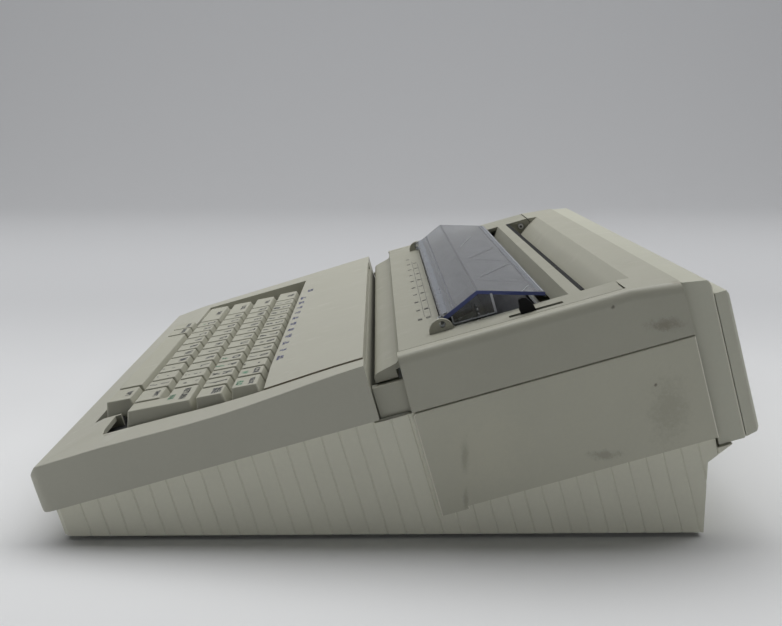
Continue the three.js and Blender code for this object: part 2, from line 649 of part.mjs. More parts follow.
function topCover() {
  const t = TOP.thickness;
  const half = TOP.halfWidth;
  const lip = [
    ...profile(LIP_START, LIP.outerLengths, LIP.outerDepths), [OPENING.front, 0], [OPENING.front, -t],
    ...profile(LIP_START, LIP.innerLengths, LIP.innerDepths),
  ];
  const reached = LIP.outerLengths.filter((length) => length <= LIP.cheekEnd);
  const cheek = [
    ...profile(LIP_START, reached, LIP.outerDepths), [LIP_START + LIP.cheekEnd, -TOP.lipDepth / 2],
    [LIP_START + LIP.cheekEnd, -TOP.lipDepth],
  ];
  const cheeks = [[-half, -half + LIP.cheekThickness], [half - LIP.cheekThickness, half]].map(
    ([x0, x1]) => acrossFrom(cheek, x0, x1));
  const barFace = { lean: 5.6, depth: 8, innerLean: 6.8, foot: 2.4, footDepth: 9 };
  const bar = [
    [OPENING.rear, -barFace.depth], [OPENING.rear + barFace.lean, 0], [OPENING.barRear, 0],
    [OPENING.barRear, -TOP.barDepth], [OPENING.barRear - t, -TOP.barDepth], [OPENING.barRear - t, -t],
    [OPENING.rear + barFace.innerLean, -t], [OPENING.rear + barFace.foot, -barFace.footDepth],
  ];
  const rims = [
    [-half, OPENING.left], [OPENING.right, half],
  ].map(([x0, x1]) => block(x0, x1, OPENING.front - t, OPENING.barRear, -t, 0));
  const topAngle = Math.asin(-HINGE.h / HINGE.armRadius);
  const arm = [
    ...arc(HINGE.s, HINGE.h, HINGE.armRadius, -quarterTurn, topAngle, 8),
    [OPENING.barRear - t, 0], [OPENING.barRear - t, HINGE.h - HINGE.armRadius],
  ];
  const arms = [
    acrossFrom(arm, -half, OPENING.left), acrossFrom(arm, OPENING.right, half),
  ];
  const ear = [
    ...arc(EAR.s, 0, EAR.radius, 0, halfTurn, 10),
    [EAR.s - EAR.radius, -t / 2], [EAR.s + EAR.radius, -t / 2],
  ];
  const ears = [OPENING.left - EAR.thickness - EAR.offset, OPENING.right + EAR.offset].map(
    (x0) => acrossFrom(ear, x0, x0 + EAR.thickness));
  const flange = block(
    OPENING.left - t, OPENING.right + t, OPENING.front - t, OPENING.front, -FLANGE_DEPTH, 0);
  const whole = join([
    acrossFrom(lip, -half, half), flange, acrossFrom(bar, OPENING.left - t, OPENING.right + t),
    ...rims, ...arms, ...ears, ...cheeks,
  ]);
  const pinBore = rodAcross(HINGE.s, HINGE.h, HINGE.pin + CLEARANCE, -HALF_WIDTH, HALF_WIDTH, 20);
  const earBore = rodAcross(
    CLEAR_HINGE.s, CLEAR_HINGE.h, CLEAR_HINGE.pin + CLEARANCE,
    OPENING.left - EAR.thickness - OVERRUN, OPENING.right + EAR.thickness + OVERRUN, 16);
  const slot = block(
    LEVER.x - SLOT.width / 2, LEVER.x + SLOT.width / 2, SLOT.front, SLOT.rear, -TOP.barDepth, OVERRUN);
  return cut(whole, [pinBore, earBore, slot]);
}

// Clear cover: a bent sheet over the print opening with a cheek at each end.
// Its profiles are lengths back from its hinge and depths below the deck.
const CLEAR_COVER = {
  sheet: 2,
  sideGap: 1.5,
  pinOverlap: 1,
  sheetLengths: [0, 22.5, 57.5, 57.5, 22.7, 1.6],
  sheetDepths: [-5.6, -15.2, -4.4, -2.4, -13.1, -3.6],
  cheekLengths: [5.5, 6, 22.5, 30, 30],
  cheekDepths: [-0.6, -6.8, -14, -11.6, -0.6],
};

function clearCover() {
  const { sheet, pinOverlap } = CLEAR_COVER;
  const x0 = OPENING.left + CLEAR_COVER.sideGap;
  const x1 = OPENING.right - CLEAR_COVER.sideGap;
  const bend = profile(CLEAR_HINGE.s, CLEAR_COVER.sheetLengths, CLEAR_COVER.sheetDepths);
  const cheek = profile(CLEAR_HINGE.s, CLEAR_COVER.cheekLengths, CLEAR_COVER.cheekDepths);
  const lugs = [[x0, x0 + CLEAR_HINGE.lugWidth], [x1 - CLEAR_HINGE.lugWidth, x1]].map(
    ([a, b]) => rodAcross(CLEAR_HINGE.s, CLEAR_HINGE.h, CLEAR_HINGE.lug, a, b, 20));
  const pins = [[x0 - EAR.thickness, x0 + pinOverlap], [x1 - pinOverlap, x1 + EAR.thickness]].map(
    ([a, b]) => rodAcross(CLEAR_HINGE.s, CLEAR_HINGE.h, CLEAR_HINGE.pin, a, b, 16));
  return join([
    acrossFrom(bend, x0, x1), acrossFrom(cheek, x0, x0 + sheet), acrossFrom(cheek, x1 - sheet, x1),
    ...lugs, ...pins,
  ]);
}

// Lever that frees the paper: a black blade on a hub outside the right frame plate
function paperReleaseLever() {
  const hub = 6;
  const stub = FRAME.lever;
  const blade = [
    [LEVER.pivotS - LEVER.width / 2, LEVER.pivotH],
    [LEVER.topS - LEVER.width / 2, LEVER.topH - LEVER.width / 2],
    ...arc(LEVER.topS, LEVER.topH - LEVER.width / 2, LEVER.width / 2, halfTurn, 0, 6).slice(1, -1),
    [LEVER.topS + LEVER.width / 2, LEVER.topH - LEVER.width / 2],
    [LEVER.pivotS + LEVER.width / 2, LEVER.pivotH],
  ].reverse();
  const x0 = LEVER.x - LEVER.thickness / 2;
  const x1 = LEVER.x + LEVER.thickness / 2;
  const hubStart = FRAME.right + FRAME.thickness + CLEARANCE;
  const body = join([
    acrossFrom(blade, x0, x1), rodAcross(LEVER.pivotS, LEVER.pivotH, hub, hubStart, x1),
  ]);
  return body.subtract(rodAcross(
    LEVER.pivotS, LEVER.pivotH, stub + CLEARANCE, FRAME.right, x1 + OVERRUN, 20));
}

// Keyboard

const KEYS = {
  pitch: KEY_PITCH,
  behindRows: 8,       // from the zero line that the rows are counted from to the rear of the well
  rowOffset: 2.5,
  gap: 0.75,
  endSlope: 1.3,       // how far the left and right top edges lie inside the base
  faceSlope: 2.3,      // the same for the front and rear top edges
  height: 9,
  travel: 3.5,
  stem: 5,
  stemLength: 15.4,
  plateDepth: 13.2,
  plateThickness: 1.5,
  rail: 3,
  railHeight: 1.6,
};

KEYS.originS = WELL_REAR - KEYS.behindRows;

const keyFrame = new THREE.Matrix4()
  .makeTranslation(0, KEYS.originS, 0)
  .multiply(new THREE.Matrix4().makeRotationX(keyTilt));

// A block in the frame of the key tops, for use among deck solids
function keyBlock(x0, x1, y0, y1, z0, z1) {
  const box = new THREE.BoxGeometry(x1 - x0, y1 - y0, z1 - z0);
  box.translate((x0 + x1) / 2, (y0 + y1) / 2, (z0 + z1) / 2);
  box.applyMatrix4(keyFrame);
  return solidOf(box);
}

function rowY(row) {
  return -KEYS.rowOffset - row * KEYS.pitch;
}

// Columns are counted in key widths from the left edge of the Q key
const LEFT_END = -2.1;
const RIGHT_END = LEFT_END + KEY_COLUMNS;

function keyX(unit) {
  return HALF_WIDTH - RIGHT_MARGIN_WIDTH + (unit - RIGHT_END) * KEYS.pitch;
}

// A tapered cap over a rectangle of the key grid
function capSolid(x0, x1, y0, y1) {
  const points = [];
  for (const [x, inX] of [[x0 + KEYS.gap / 2, 1], [x1 - KEYS.gap / 2, -1]]) {
    for (const [y, inY] of [[y0 + KEYS.gap / 2, 1], [y1 - KEYS.gap / 2, -1]]) {
      points.push(new THREE.Vector3(x, y, -KEYS.height));
      points.push(new THREE.Vector3(x + inX * KEYS.endSlope, y + inY * KEYS.faceSlope, 0));
    }
  }
  return solidOf(new ConvexGeometry(points));
}

function stemSolid(x, y) {
  return block(
    x - KEYS.stem / 2, x + KEYS.stem / 2, y - KEYS.stem / 2, y + KEYS.stem / 2,
    -KEYS.stemLength, -KEYS.height / 2);
}

// Each key: row, left edge and right edge in key pitches from the left of Q
const SINGLE_KEYS = {
  margin_key: [0, LEFT_END, -0.3],
  correction_key: [0, 10.7, 11.7],
  relocate_key: [0, 11.7, RIGHT_END],
  tab_key: [1, LEFT_END, 0],
  backspace_key: [1, 12, RIGHT_END],
  shift_lock_key: [2, LEFT_END, 0.25],
  left_shift_key: [3, LEFT_END, 0.75],
  right_shift_key: [3, 10.75, 12.1],
  code_key: [4, 0.25, 1.35],
  index_key: [4, 1.35, 2.45],
  repeat_key: [4, 10, 11.5],
};
const KEY_BANKS = {
  number_keys: [0, -0.3, 11],
  upper_letter_keys: [1, 0, 12],
  home_letter_keys: [2, 0.25, 11],
  lower_letter_keys: [3, 0.75, 10],
};
const SPACE_BAR = [4, 2.5, 9.95];
const RETURN_KEY = { left: 11.25, lowerLeft: 12.1 };

function rowSpan(row) {
  return [rowY(row) - KEYS.pitch / 2, rowY(row) + KEYS.pitch / 2];
}

function singleKey([row, left, right]) {
  const [y0, y1] = rowSpan(row);
  const middle = (keyX(left) + keyX(right)) / 2;
  return join([capSolid(keyX(left), keyX(right), y0, y1), stemSolid(middle, rowY(row))]);
}

// A row of single-width caps on one actuating rail
function keyBank([row, left, count]) {
  const [y0, y1] = rowSpan(row);
  const caps = [];
  for (let i = 0; i < count; i += 1) {
    caps.push(capSolid(keyX(left + i), keyX(left + i + 1), y0, y1));
    caps.push(stemSolid(keyX(left + i + 1 / 2), rowY(row)));
  }
  const rail = block(
    keyX(left) + KEYS.pitch / 2, keyX(left + count) - KEYS.pitch / 2,
    rowY(row) - KEYS.rail / 2, rowY(row) + KEYS.rail / 2, -KEYS.height, -KEYS.height + KEYS.railHeight);
  return join([...caps, rail]);
}

function returnKey() {
  const [lowerFront] = rowSpan(3);
  const [upperFront, upperRear] = rowSpan(2);
  return join([
    capSolid(keyX(RETURN_KEY.left), keyX(RIGHT_END), upperFront, upperRear),
    capSolid(keyX(RETURN_KEY.lowerLeft), keyX(RIGHT_END), lowerFront, upperRear),
    stemSolid(keyX((RETURN_KEY.lowerLeft + RIGHT_END) / 2), (lowerFront + upperRear) / 2),
  ]);
}

function spaceBar() {
  const [row, left, right] = SPACE_BAR;
  const [y0, y1] = rowSpan(row);
  const stemInset = KEYS.pitch;
  return join([
    capSolid(keyX(left), keyX(right), y0, y1),
    stemSolid(keyX(left) + stemInset, rowY(row)), stemSolid(keyX(right) - stemInset, rowY(row)),
  ]);
}

function stemPlaces() {
  const places = [];
  for (const [row, left, right] of Object.values(SINGLE_KEYS)) {
    places.push([(keyX(left) + keyX(right)) / 2, rowY(row)]);
  }
  for (const [row, left, count] of Object.values(KEY_BANKS)) {
    for (let i = 0; i < count; i += 1) places.push([keyX(left + i + 1 / 2), rowY(row)]);
  }
  const [lowerFront] = rowSpan(3);
  const upperRear = rowSpan(2)[1];
  places.push([keyX((RETURN_KEY.lowerLeft + RIGHT_END) / 2), (lowerFront + upperRear) / 2]);
  places.push([keyX(SPACE_BAR[1]) + KEYS.pitch, rowY(SPACE_BAR[0])]);
  places.push([keyX(SPACE_BAR[2]) - KEYS.pitch, rowY(SPACE_BAR[0])]);
  return places;
}

const PLATE = {
  left: -HALF_WIDTH + IN_FROM_LEFT.plate,
  right: HALF_WIDTH - IN_FROM_RIGHT.plate,
  frontMargin: 1.25,
  rear: 14,
  rim: 3,
  boardGap: 6.5,
  boardThickness: 1.6,
  membrane: 0.6,
};
PLATE.front = PLATE.frontMargin - KEY_ROWS * KEYS.pitch;

function keyboardPlate() {
  const bottom = -KEYS.plateDepth - KEYS.plateThickness;
  const half = KEYS.stem / 2 + CLEARANCE;
  const holes = stemPlaces().map(([x, y]) => block(
    x - half, x + half, y - half, y + half, bottom - OVERRUN, -KEYS.plateDepth + OVERRUN));
  const plate = block(PLATE.left, PLATE.right, PLATE.front, PLATE.rear, bottom, -KEYS.plateDepth);
  const boardTop = bottom - PLATE.boardGap;
  const legs = [PLATE.front, PLATE.rear - PLATE.rim].map((y) => block(
    PLATE.left, PLATE.right, y, y + PLATE.rim, boardTop + CLEARANCE, bottom + KEYS.plateThickness / 2));
  return join([cut(plate, holes), ...legs]);
}

function keyboardBoard() {
  const top = -KEYS.plateDepth - KEYS.plateThickness - PLATE.boardGap;
  return block(PLATE.left, PLATE.right, PLATE.front, PLATE.rear, top - PLATE.boardThickness, top);
}

function contactMembrane() {
  const rim = PLATE.rim + CLEARANCE;
  const bottom = -KEYS.plateDepth - KEYS.plateThickness - PLATE.boardGap + CLEARANCE;
  return block(
    PLATE.left, PLATE.right, PLATE.front + rim, PLATE.rear - rim, bottom, bottom + PLATE.membrane);
}

// Print mechanism

const FRAME = {
  left: -HALF_WIDTH + IN_FROM_LEFT.frame,
  right: HALF_WIDTH - IN_FROM_RIGHT.frame,
  thickness: 2,
  front: REAR_CASE_START + BACK.frame,
  rear: REAR_CASE_START + BACK.frameRear,
  top: -17,
  frontFootInset: 26,
  rearFootInset: 14,
  rearChamfer: 12,
  frontDrop: 14,
  lever: 2.5,
  flange: 10,
  shaftEnd: 3,
};
const PLATEN = {
  s: REAR_CASE_START + BACK.platen,
  h: -28,
  radius: 15,
  bore: 5,
  left: -HALF_WIDTH + IN_FROM_LEFT.platen,
  right: HALF_WIDTH - IN_FROM_RIGHT.platen,
  shaft: 4.6,
};
const FEED = { radius: 7, shaft: 2.5, rollers: 4, rollerLength: 30, gap: 0.4 };
const RAIL = { s: REAR_CASE_START + BACK.rail, h: -87, radius: 5 };
const GUIDE = { s: REAR_CASE_START + BACK.guideRail, h: -48, radius: 3 };
const CROSSBAR = { front: REAR_CASE_START + BACK.crossbar, thickness: 3, bottom: -84, top: -50, lip: 8 };
CROSSBAR.rear = CROSSBAR.front + CROSSBAR.thickness;
const GEAR = { module: 1.2, teeth: 36, pinionTeeth: 12, width: 5, pinionWidth: 6, backlash: 0.3, gap: 1 };
const BELT = {
  front: REAR_CASE_START + BACK.belt,
  width: 6,
  h: -62,
  radius: 8,
  thickness: 1.4,
  left: -HALF_WIDTH + IN_FROM_LEFT.belt,
  right: HALF_WIDTH - IN_FROM_RIGHT.belt,
  play: 1,
};
const CARRIAGE = {
  x: (BELT.left + BELT.right) / 2,
  width: 64,
  front: REAR_CASE_START + BACK.carriage,
  wheelGap: 3.6,                  // between the frame and the print wheel behind it
  wall: 3,
  shelf: -20.5,
  shelfInset: 4,
  floor: -78.3,
  footBelow: 4,
  railMargin: 3,
  railReach: 2,
};
const WHEEL = {
  s: REAR_CASE_START + BACK.printWheel,
  thickness: 1.1,
  h: -61,
  radius: 36,
  hub: 12,
  petals: 32,
  slitShare: 0.3,
};
CARRIAGE.rear = WHEEL.s - CARRIAGE.wheelGap;
const MOTOR = { radius: 17, front: REAR_CASE_START + BACK.motor, gap: 2 };

const feedH = PLATEN.h - PLATEN.radius - FEED.radius - FEED.gap;
const gearDistance = GEAR.module * (GEAR.teeth + GEAR.pinionTeeth) / 2 + GEAR.backlash;
const pinionS = PLATEN.s + gearDistance * Math.cos(-quarterTurn / 2);
const pinionH = PLATEN.h + gearDistance * Math.sin(-quarterTurn / 2);

function framePlate(x0, side) {
  const floor = FOOT_HEIGHT + TRAY.floor + CLEARANCE;
  const frontY = DECK_FRONT_Y + FRAME.front * Math.cos(slope) + FRAME.frontFootInset;
  const rearY = DECK_FRONT_Y + FRAME.rear * Math.cos(slope) + FRAME.rearFootInset;
  const plate = acrossFrom([
    toDeck(frontY, floor), toDeck(rearY, floor), [FRAME.rear, FRAME.top - FRAME.rearChamfer],
    [FRAME.rear - FRAME.frontDrop, FRAME.top], [FRAME.front, FRAME.top - FRAME.frontDrop],
  ], x0, x0 + FRAME.thickness);
  const x1 = x0 + FRAME.thickness;
  const flangeEdge = side > 0 ? [x0, x0 + FRAME.flange] : [x1 - FRAME.flange, x1];
  const flange = levelBlock(...flangeEdge, frontY, rearY, floor, floor + FRAME.thickness);
  const holes = [
    [PLATEN.s, PLATEN.h, PLATEN.shaft], [PLATEN.s, feedH, FEED.shaft], [pinionS, pinionH, STEPPER.shaft],
    [RAIL.s, RAIL.h, RAIL.radius], [GUIDE.s, GUIDE.h, GUIDE.radius],
  ].map(([s, h, r]) => rodAcross(s, h, r + CLEARANCE, x0 - OVERRUN, x0 + FRAME.thickness + OVERRUN));
  const solids = [plate, flange];
  if (side > 0) {
    solids.push(rodAcross(LEVER.pivotS, LEVER.pivotH, FRAME.lever, x0, LEVER.x + LEVER.thickness / 2, 20));
  }
  return cut(join(solids), holes);
}

function platenRoller() {
  return turnedAcross([
    [PLATEN.bore, PLATEN.left], [PLATEN.radius, PLATEN.left], [PLATEN.radius, PLATEN.right],
    [PLATEN.bore, PLATEN.right], [PLATEN.bore, PLATEN.left],
  ], PLATEN.s, PLATEN.h, 40);
}

function platenShaft() {
  const endLeft = FRAME.left - GEAR.width - FRAME.shaftEnd;
  const endRight = FRAME.right + FRAME.thickness + GEAR.gap;
  return rodAcross(PLATEN.s, PLATEN.h, PLATEN.shaft, endLeft, endRight, 24);
}

function gearAcross(teeth, phaseShare, s, h, x0, x1, bore) {
  const outline = gearOutline(teeth, GEAR.module, phaseShare).map(([a, b]) => [s + a, h + b]);
  return acrossFrom(outline, x0, x1).subtract(rodAcross(s, h, bore, x0 - OVERRUN, x1 + OVERRUN, 20));
}

function platenGear() {
  const x1 = FRAME.left - GEAR.gap;
  const angleShare = -quarterTurn / 2 / (fullTurn / GEAR.teeth);
  const bore = PLATEN.shaft + CLEARANCE;
  return gearAcross(GEAR.teeth, angleShare, PLATEN.s, PLATEN.h, x1 - GEAR.width, x1, bore);
}

function motorPinion() {
  const x1 = FRAME.left - GEAR.gap + (GEAR.pinionWidth - GEAR.width) / 2;
  const facing = halfTurn - quarterTurn / 2;
  const angleShare = facing / (fullTurn / GEAR.pinionTeeth) + 1 / 2;
  return gearAcross(
    GEAR.pinionTeeth, angleShare, pinionS, pinionH, x1 - GEAR.pinionWidth, x1, STEPPER.shaft + CLEARANCE);
}

const STEPPER = { radius: 13, length: 22, shaft: 2.5, shaftLength: 12, seat: 1 };

// A round stepper motor inside the left frame plate, its shaft passing out through it
function platenMotor() {
  const face = FRAME.left + FRAME.thickness + CLEARANCE;
  return join([
    rodAcross(pinionS, pinionH, STEPPER.radius, face, face + STEPPER.length, 32),
    rodAcross(pinionS, pinionH, STEPPER.shaft, face - STEPPER.shaftLength, face + STEPPER.seat, 20),
  ]);
}

function feedRollers() {
  const span = PLATEN.right - PLATEN.left;
  const step = span / FEED.rollers;
  const start = FRAME.left - GEAR.gap / 2;
  const profile = [[0, start], [FEED.shaft, start]];
  for (let i = 0; i < FEED.rollers; i += 1) {
    const middle = PLATEN.left + step * (i + 1 / 2);
    profile.push([FEED.shaft, middle - FEED.rollerLength / 2], [FEED.radius, middle - FEED.rollerLength / 2]);
    profile.push([FEED.radius, middle + FEED.rollerLength / 2], [FEED.shaft, middle + FEED.rollerLength / 2]);
  }
  const end = FRAME.right + FRAME.thickness + FRAME.shaftEnd;
  profile.push([FEED.shaft, end], [0, end]);
  return turnedAcross(profile, PLATEN.s, feedH, 20);
}

// The curved sheet that leads the paper under the platen
function paperDeflector() {
  const gap = 1.8;
  const sheet = 1.2;
  const from = -THREE.MathUtils.degToRad(68);
  const to = THREE.MathUtils.degToRad(50);
  const inner = arc(PLATEN.s, PLATEN.h, PLATEN.radius + gap, to, from, 12);
  const outer = arc(PLATEN.s, PLATEN.h, PLATEN.radius + gap + sheet, from, to, 12);
  const sheetSolid = acrossFrom(
    [...outer, ...inner], FRAME.left + FRAME.thickness + CLEARANCE, FRAME.right - CLEARANCE);
  const motorEnd = FRAME.left + STEPPER.length + 2 * FRAME.thickness;
  return sheetSolid.subtract(rodAcross(
    pinionS, pinionH, STEPPER.radius + STEPPER.seat, FRAME.left, motorEnd, 32));
}

function roundRail({ s, h, radius }) {
  const end = FRAME.right + FRAME.thickness + FRAME.shaftEnd;
  return rodAcross(s, h, radius, FRAME.left - FRAME.shaftEnd, end, 24);
}

function frontCrossbar() {
  const x0 = FRAME.left + FRAME.thickness + CLEARANCE;
  const x1 = FRAME.right - CLEARANCE;
  const bar = block(x0, x1, CROSSBAR.front, CROSSBAR.rear, CROSSBAR.bottom, CROSSBAR.top);
  const lip = block(
    x0, x1, CROSSBAR.front - CROSSBAR.lip, CROSSBAR.rear, CROSSBAR.bottom,
    CROSSBAR.bottom + CROSSBAR.rear - CROSSBAR.front);
  const shaftHole = rodAlong(
    BELT.left, BELT.h, STEPPER.shaft + BELT.play, CROSSBAR.front - OVERRUN, CROSSBAR.rear + OVERRUN);
  const pinStart = CROSSBAR.rear - BELT.play;
  const idlerPin = rodAlong(BELT.right, BELT.h, STEPPER.shaft, pinStart, BELT.front + BELT.width, 20);
  return join([cut(join([bar, lip]), [shaftHole]), idlerPin]);
}

function carriageMotor() {
  const rear = CROSSBAR.front - CLEARANCE;
  return join([
    rodAlong(BELT.left, BELT.h, STEPPER.radius, rear - STEPPER.length, rear, 28),
    rodAlong(BELT.left, BELT.h, STEPPER.shaft, rear - BELT.play, BELT.front + BELT.width - BELT.play, 20),
  ]);
}

function pulley(x) {
  const radius = BELT.radius - CLEARANCE;
  return rodAlong(x, BELT.h, radius, BELT.front - BELT.play, BELT.front + BELT.width - BELT.play / 2, 28)
    .subtract(rodAlong(
      x, BELT.h, STEPPER.shaft + CLEARANCE, BELT.front - OVERRUN, BELT.front + BELT.width + OVERRUN, 20));
}

function carriageBelt() {
  const loop = (radius) => [
    ...arc(BELT.left, BELT.h, radius, quarterTurn, 3 * quarterTurn, 12),
    ...arc(BELT.right, BELT.h, radius, -quarterTurn, quarterTurn, 12),
  ];
  const s0 = BELT.front;
  const s1 = BELT.front + BELT.width;
  return alongFrom(loop(BELT.radius + BELT.thickness), s0, s1)
    .subtract(alongFrom(loop(BELT.radius), s0 - OVERRUN, s1 + OVERRUN));
}

function carriageFrame() {
  const x0 = CARRIAGE.x - CARRIAGE.width / 2;
  const x1 = CARRIAGE.x + CARRIAGE.width / 2;
  const foot = RAIL.h - RAIL.radius - CARRIAGE.footBelow;
  const guideLow = GUIDE.h - GUIDE.radius - CARRIAGE.railMargin;
  const guideHigh = GUIDE.h + GUIDE.radius + CARRIAGE.railMargin;
  const guideRear = GUIDE.s + GUIDE.radius + CARRIAGE.railReach;
  const outline = [
    [CARRIAGE.front, foot], [CARRIAGE.rear, foot], [CARRIAGE.rear, CARRIAGE.floor],
    [CARRIAGE.front + CARRIAGE.wall, CARRIAGE.floor],
    [CARRIAGE.front + CARRIAGE.wall, guideLow], [guideRear, guideLow], [guideRear, guideHigh],
    [CARRIAGE.front + CARRIAGE.wall, guideHigh],
    [CARRIAGE.front + CARRIAGE.wall, CARRIAGE.shelf - CARRIAGE.wall],
    [CARRIAGE.rear - CARRIAGE.shelfInset, CARRIAGE.shelf - CARRIAGE.wall],
    [CARRIAGE.rear - CARRIAGE.shelfInset, CARRIAGE.shelf],
    [CARRIAGE.front, CARRIAGE.shelf],
  ];
  const hammerBlock = block(
    CARRIAGE.x - HAMMER.guide, CARRIAGE.x + HAMMER.guide, HAMMER.guideFront, HAMMER.guideRear,
    PLATEN.h - HAMMER.guide, CARRIAGE.shelf - CARRIAGE.wall / 2);
  const bores = [
    rodAcross(RAIL.s, RAIL.h, RAIL.radius + CLEARANCE, x0 - OVERRUN, x1 + OVERRUN),
    rodAcross(GUIDE.s, GUIDE.h, GUIDE.radius + CLEARANCE, x0 - OVERRUN, x1 + OVERRUN),
    rodAlong(CARRIAGE.x, PLATEN.h, HAMMER.radius + CLEARANCE, HAMMER.guideFront - OVERRUN,
      HAMMER.guideRear + OVERRUN, 20),
  ];
  return cut(join([acrossFrom(outline, x0, x1), hammerBlock]), bores);
}

const HAMMER = {
  radius: 2,
  front: REAR_CASE_START + BACK.hammer,
  length: 24.4,
  guide: 4.6,
  guideFront: REAR_CASE_START + BACK.hammerGuide,
  guideLength: 10,
};
HAMMER.rear = HAMMER.front + HAMMER.length;
HAMMER.guideRear = HAMMER.guideFront + HAMMER.guideLength;

function printHammer() {
  const head = 3;
  return join([
    rodAlong(CARRIAGE.x, PLATEN.h, HAMMER.radius, HAMMER.front, HAMMER.rear, 20),
    rodAlong(CARRIAGE.x, PLATEN.h, head, HAMMER.front - head, HAMMER.front, 20),
  ]);
}

function printWheel() {
  const shape = [];
  for (let i = 0; i < WHEEL.petals; i += 1) {
    const at = (i + 1 / 2) * fullTurn / WHEEL.petals;
    const half = WHEEL.slitShare * fullTurn / WHEEL.petals;
    shape.push([WHEEL.hub * Math.cos(at - half), WHEEL.hub * Math.sin(at - half)]);
    shape.push([WHEEL.radius * Math.cos(at - half), WHEEL.radius * Math.sin(at - half)]);
    shape.push([WHEEL.radius * Math.cos(at + half), WHEEL.radius * Math.sin(at + half)]);
    shape.push([WHEEL.hub * Math.cos(at + half), WHEEL.hub * Math.sin(at + half)]);
  }
  const outline = shape.map(([a, b]) => [CARRIAGE.x + a, WHEEL.h + b]);
  return alongFrom(outline, WHEEL.s, WHEEL.s + WHEEL.thickness).subtract(rodAlong(
    CARRIAGE.x, WHEEL.h, STEPPER.shaft + CLEARANCE, WHEEL.s - OVERRUN, WHEEL.s + OVERRUN, 20));
}

function wheelMotor() {
  const rear = WHEEL.s - MOTOR.gap;
  return join([
    rodAlong(CARRIAGE.x, WHEEL.h, MOTOR.radius, MOTOR.front, rear, 32),
    rodAlong(CARRIAGE.x, WHEEL.h, STEPPER.shaft, rear - STEPPER.seat, WHEEL.s + WHEEL.thickness, 20),
  ]);
}

function ribbonCassette() {
  const width = 104;
  const height = 11;
  const front = REAR_CASE_START + BACK.cassette;
  const bottom = CARRIAGE.shelf + CLEARANCE;
  const corner = 8;
  const x0 = CARRIAGE.x - width / 2;
  const x1 = CARRIAGE.x + width / 2;
  const rear = CARRIAGE.rear;
  const mouth = 20;
  return upFrom([
    [x0 + corner, front], [x1 - corner, front], [x1, front + corner], [x1, rear - corner],
    [x1 - corner, rear], [CARRIAGE.x + mouth, rear], [CARRIAGE.x + mouth, rear - corner],
    [CARRIAGE.x - mouth, rear - corner], [CARRIAGE.x - mouth, rear], [x0 + corner, rear],
    [x0, rear - corner], [x0, front + corner],
  ], bottom, bottom + height);
}

// Electrics in the bottom case, laid out level with the table

const BOARD = {
  x0: -HALF_WIDTH + IN_FROM_LEFT.board,
  width: 210,
  behindFront: 69.05,
  depth: 90,
  z: 12,
  thickness: 1.6,
  standoff: 6,
  cornerInset: 8,
};
BOARD.x1 = BOARD.x0 + BOARD.width;
BOARD.y0 = DECK_FRONT_Y + BOARD.behindFront;
BOARD.y1 = BOARD.y0 + BOARD.depth;
BOARD.corners = [
  [BOARD.x0 + BOARD.cornerInset, BOARD.y0 + BOARD.cornerInset],
  [BOARD.x1 - BOARD.cornerInset, BOARD.y0 + BOARD.cornerInset],
  [BOARD.x1 - BOARD.cornerInset, BOARD.y1 - BOARD.cornerInset],
  [BOARD.x0 + BOARD.cornerInset, BOARD.y1 - BOARD.cornerInset],
];
const TRANSFORMER = {
  x: HALF_WIDTH - IN_FROM_RIGHT.transformer,
  y: BOARD.y1 - BOARD.cornerInset,
  width: 56,
  depth: 46,
  height: 44,
  coreShare: 0.7,
  coreInset: 7,
};

function mainBoard() {
  return levelBlock(BOARD.x0, BOARD.x1, BOARD.y0, BOARD.y1, BOARD.z, BOARD.z + BOARD.thickness);
}

function transformer() {
  const z0 = FOOT_HEIGHT + TRAY.floor + CLEARANCE;
  const core = { width: TRANSFORMER.width * TRANSFORMER.coreShare, inset: TRANSFORMER.coreInset };
  const x0 = TRANSFORMER.x - TRANSFORMER.width / 2;
  const y0 = TRANSFORMER.y - TRANSFORMER.depth / 2;
  return join([
    levelBlock(
      x0, x0 + TRANSFORMER.width, y0 + core.inset, y0 + TRANSFORMER.depth - core.inset,
      z0, z0 + TRANSFORMER.height),
    levelBlock(
      TRANSFORMER.x - core.width / 2, TRANSFORMER.x + core.width / 2, y0, y0 + TRANSFORMER.depth,
      z0 + core.inset, z0 + TRANSFORMER.height - core.inset),
  ]);
}

function mainsInlet() {
  const y1 = TRAY.rearY;
  const y0 = y1 - INLET.depth;
  const body = levelBlock(
    INLET.x - INLET.width / 2, INLET.x + INLET.width / 2, y0, y1,
    INLET.z - INLET.height / 2, INLET.z + INLET.height / 2);
  const socket = levelBlock(
    INLET.x - INLET.socketWidth / 2, INLET.x + INLET.socketWidth / 2, y1 - INLET.socketDepth, y1 + OVERRUN,
    INLET.z - INLET.socketHeight / 2, INLET.z + INLET.socketHeight / 2);
  return body.subtract(socket);
}

// A rocker in the left side, hollowed to a shallow V, with one half pressed in
function mainsSwitch() {
  const x1 = -HALF_WIDTH + SWITCH.depth;
  const play = 1.3;
  const [proud, middle, sunk] = [0.3, 1.6, 3.6];
  const front = SWITCH.s - SWITCH.length / 2 + play;
  const rear = SWITCH.s + SWITCH.length / 2 - play;
  const outline = [
    [x1, front], [x1, rear], [-HALF_WIDTH + sunk, rear], [-HALF_WIDTH + middle, SWITCH.s],
    [-HALF_WIDTH + proud, front],
  ];
  return upFrom(outline, SWITCH.h - SWITCH.height / 2 + CLEARANCE, SWITCH.h + SWITCH.height / 2 - CLEARANCE);
}

const FOOT = { radius: 9, taper: 1.5, insetX: 32, behindFront: 31.05, beforeRear: 23 };
FOOT.frontY = DECK_FRONT_Y + FOOT.behindFront;
FOOT.rearY = TRAY.rearY - FOOT.beforeRear;

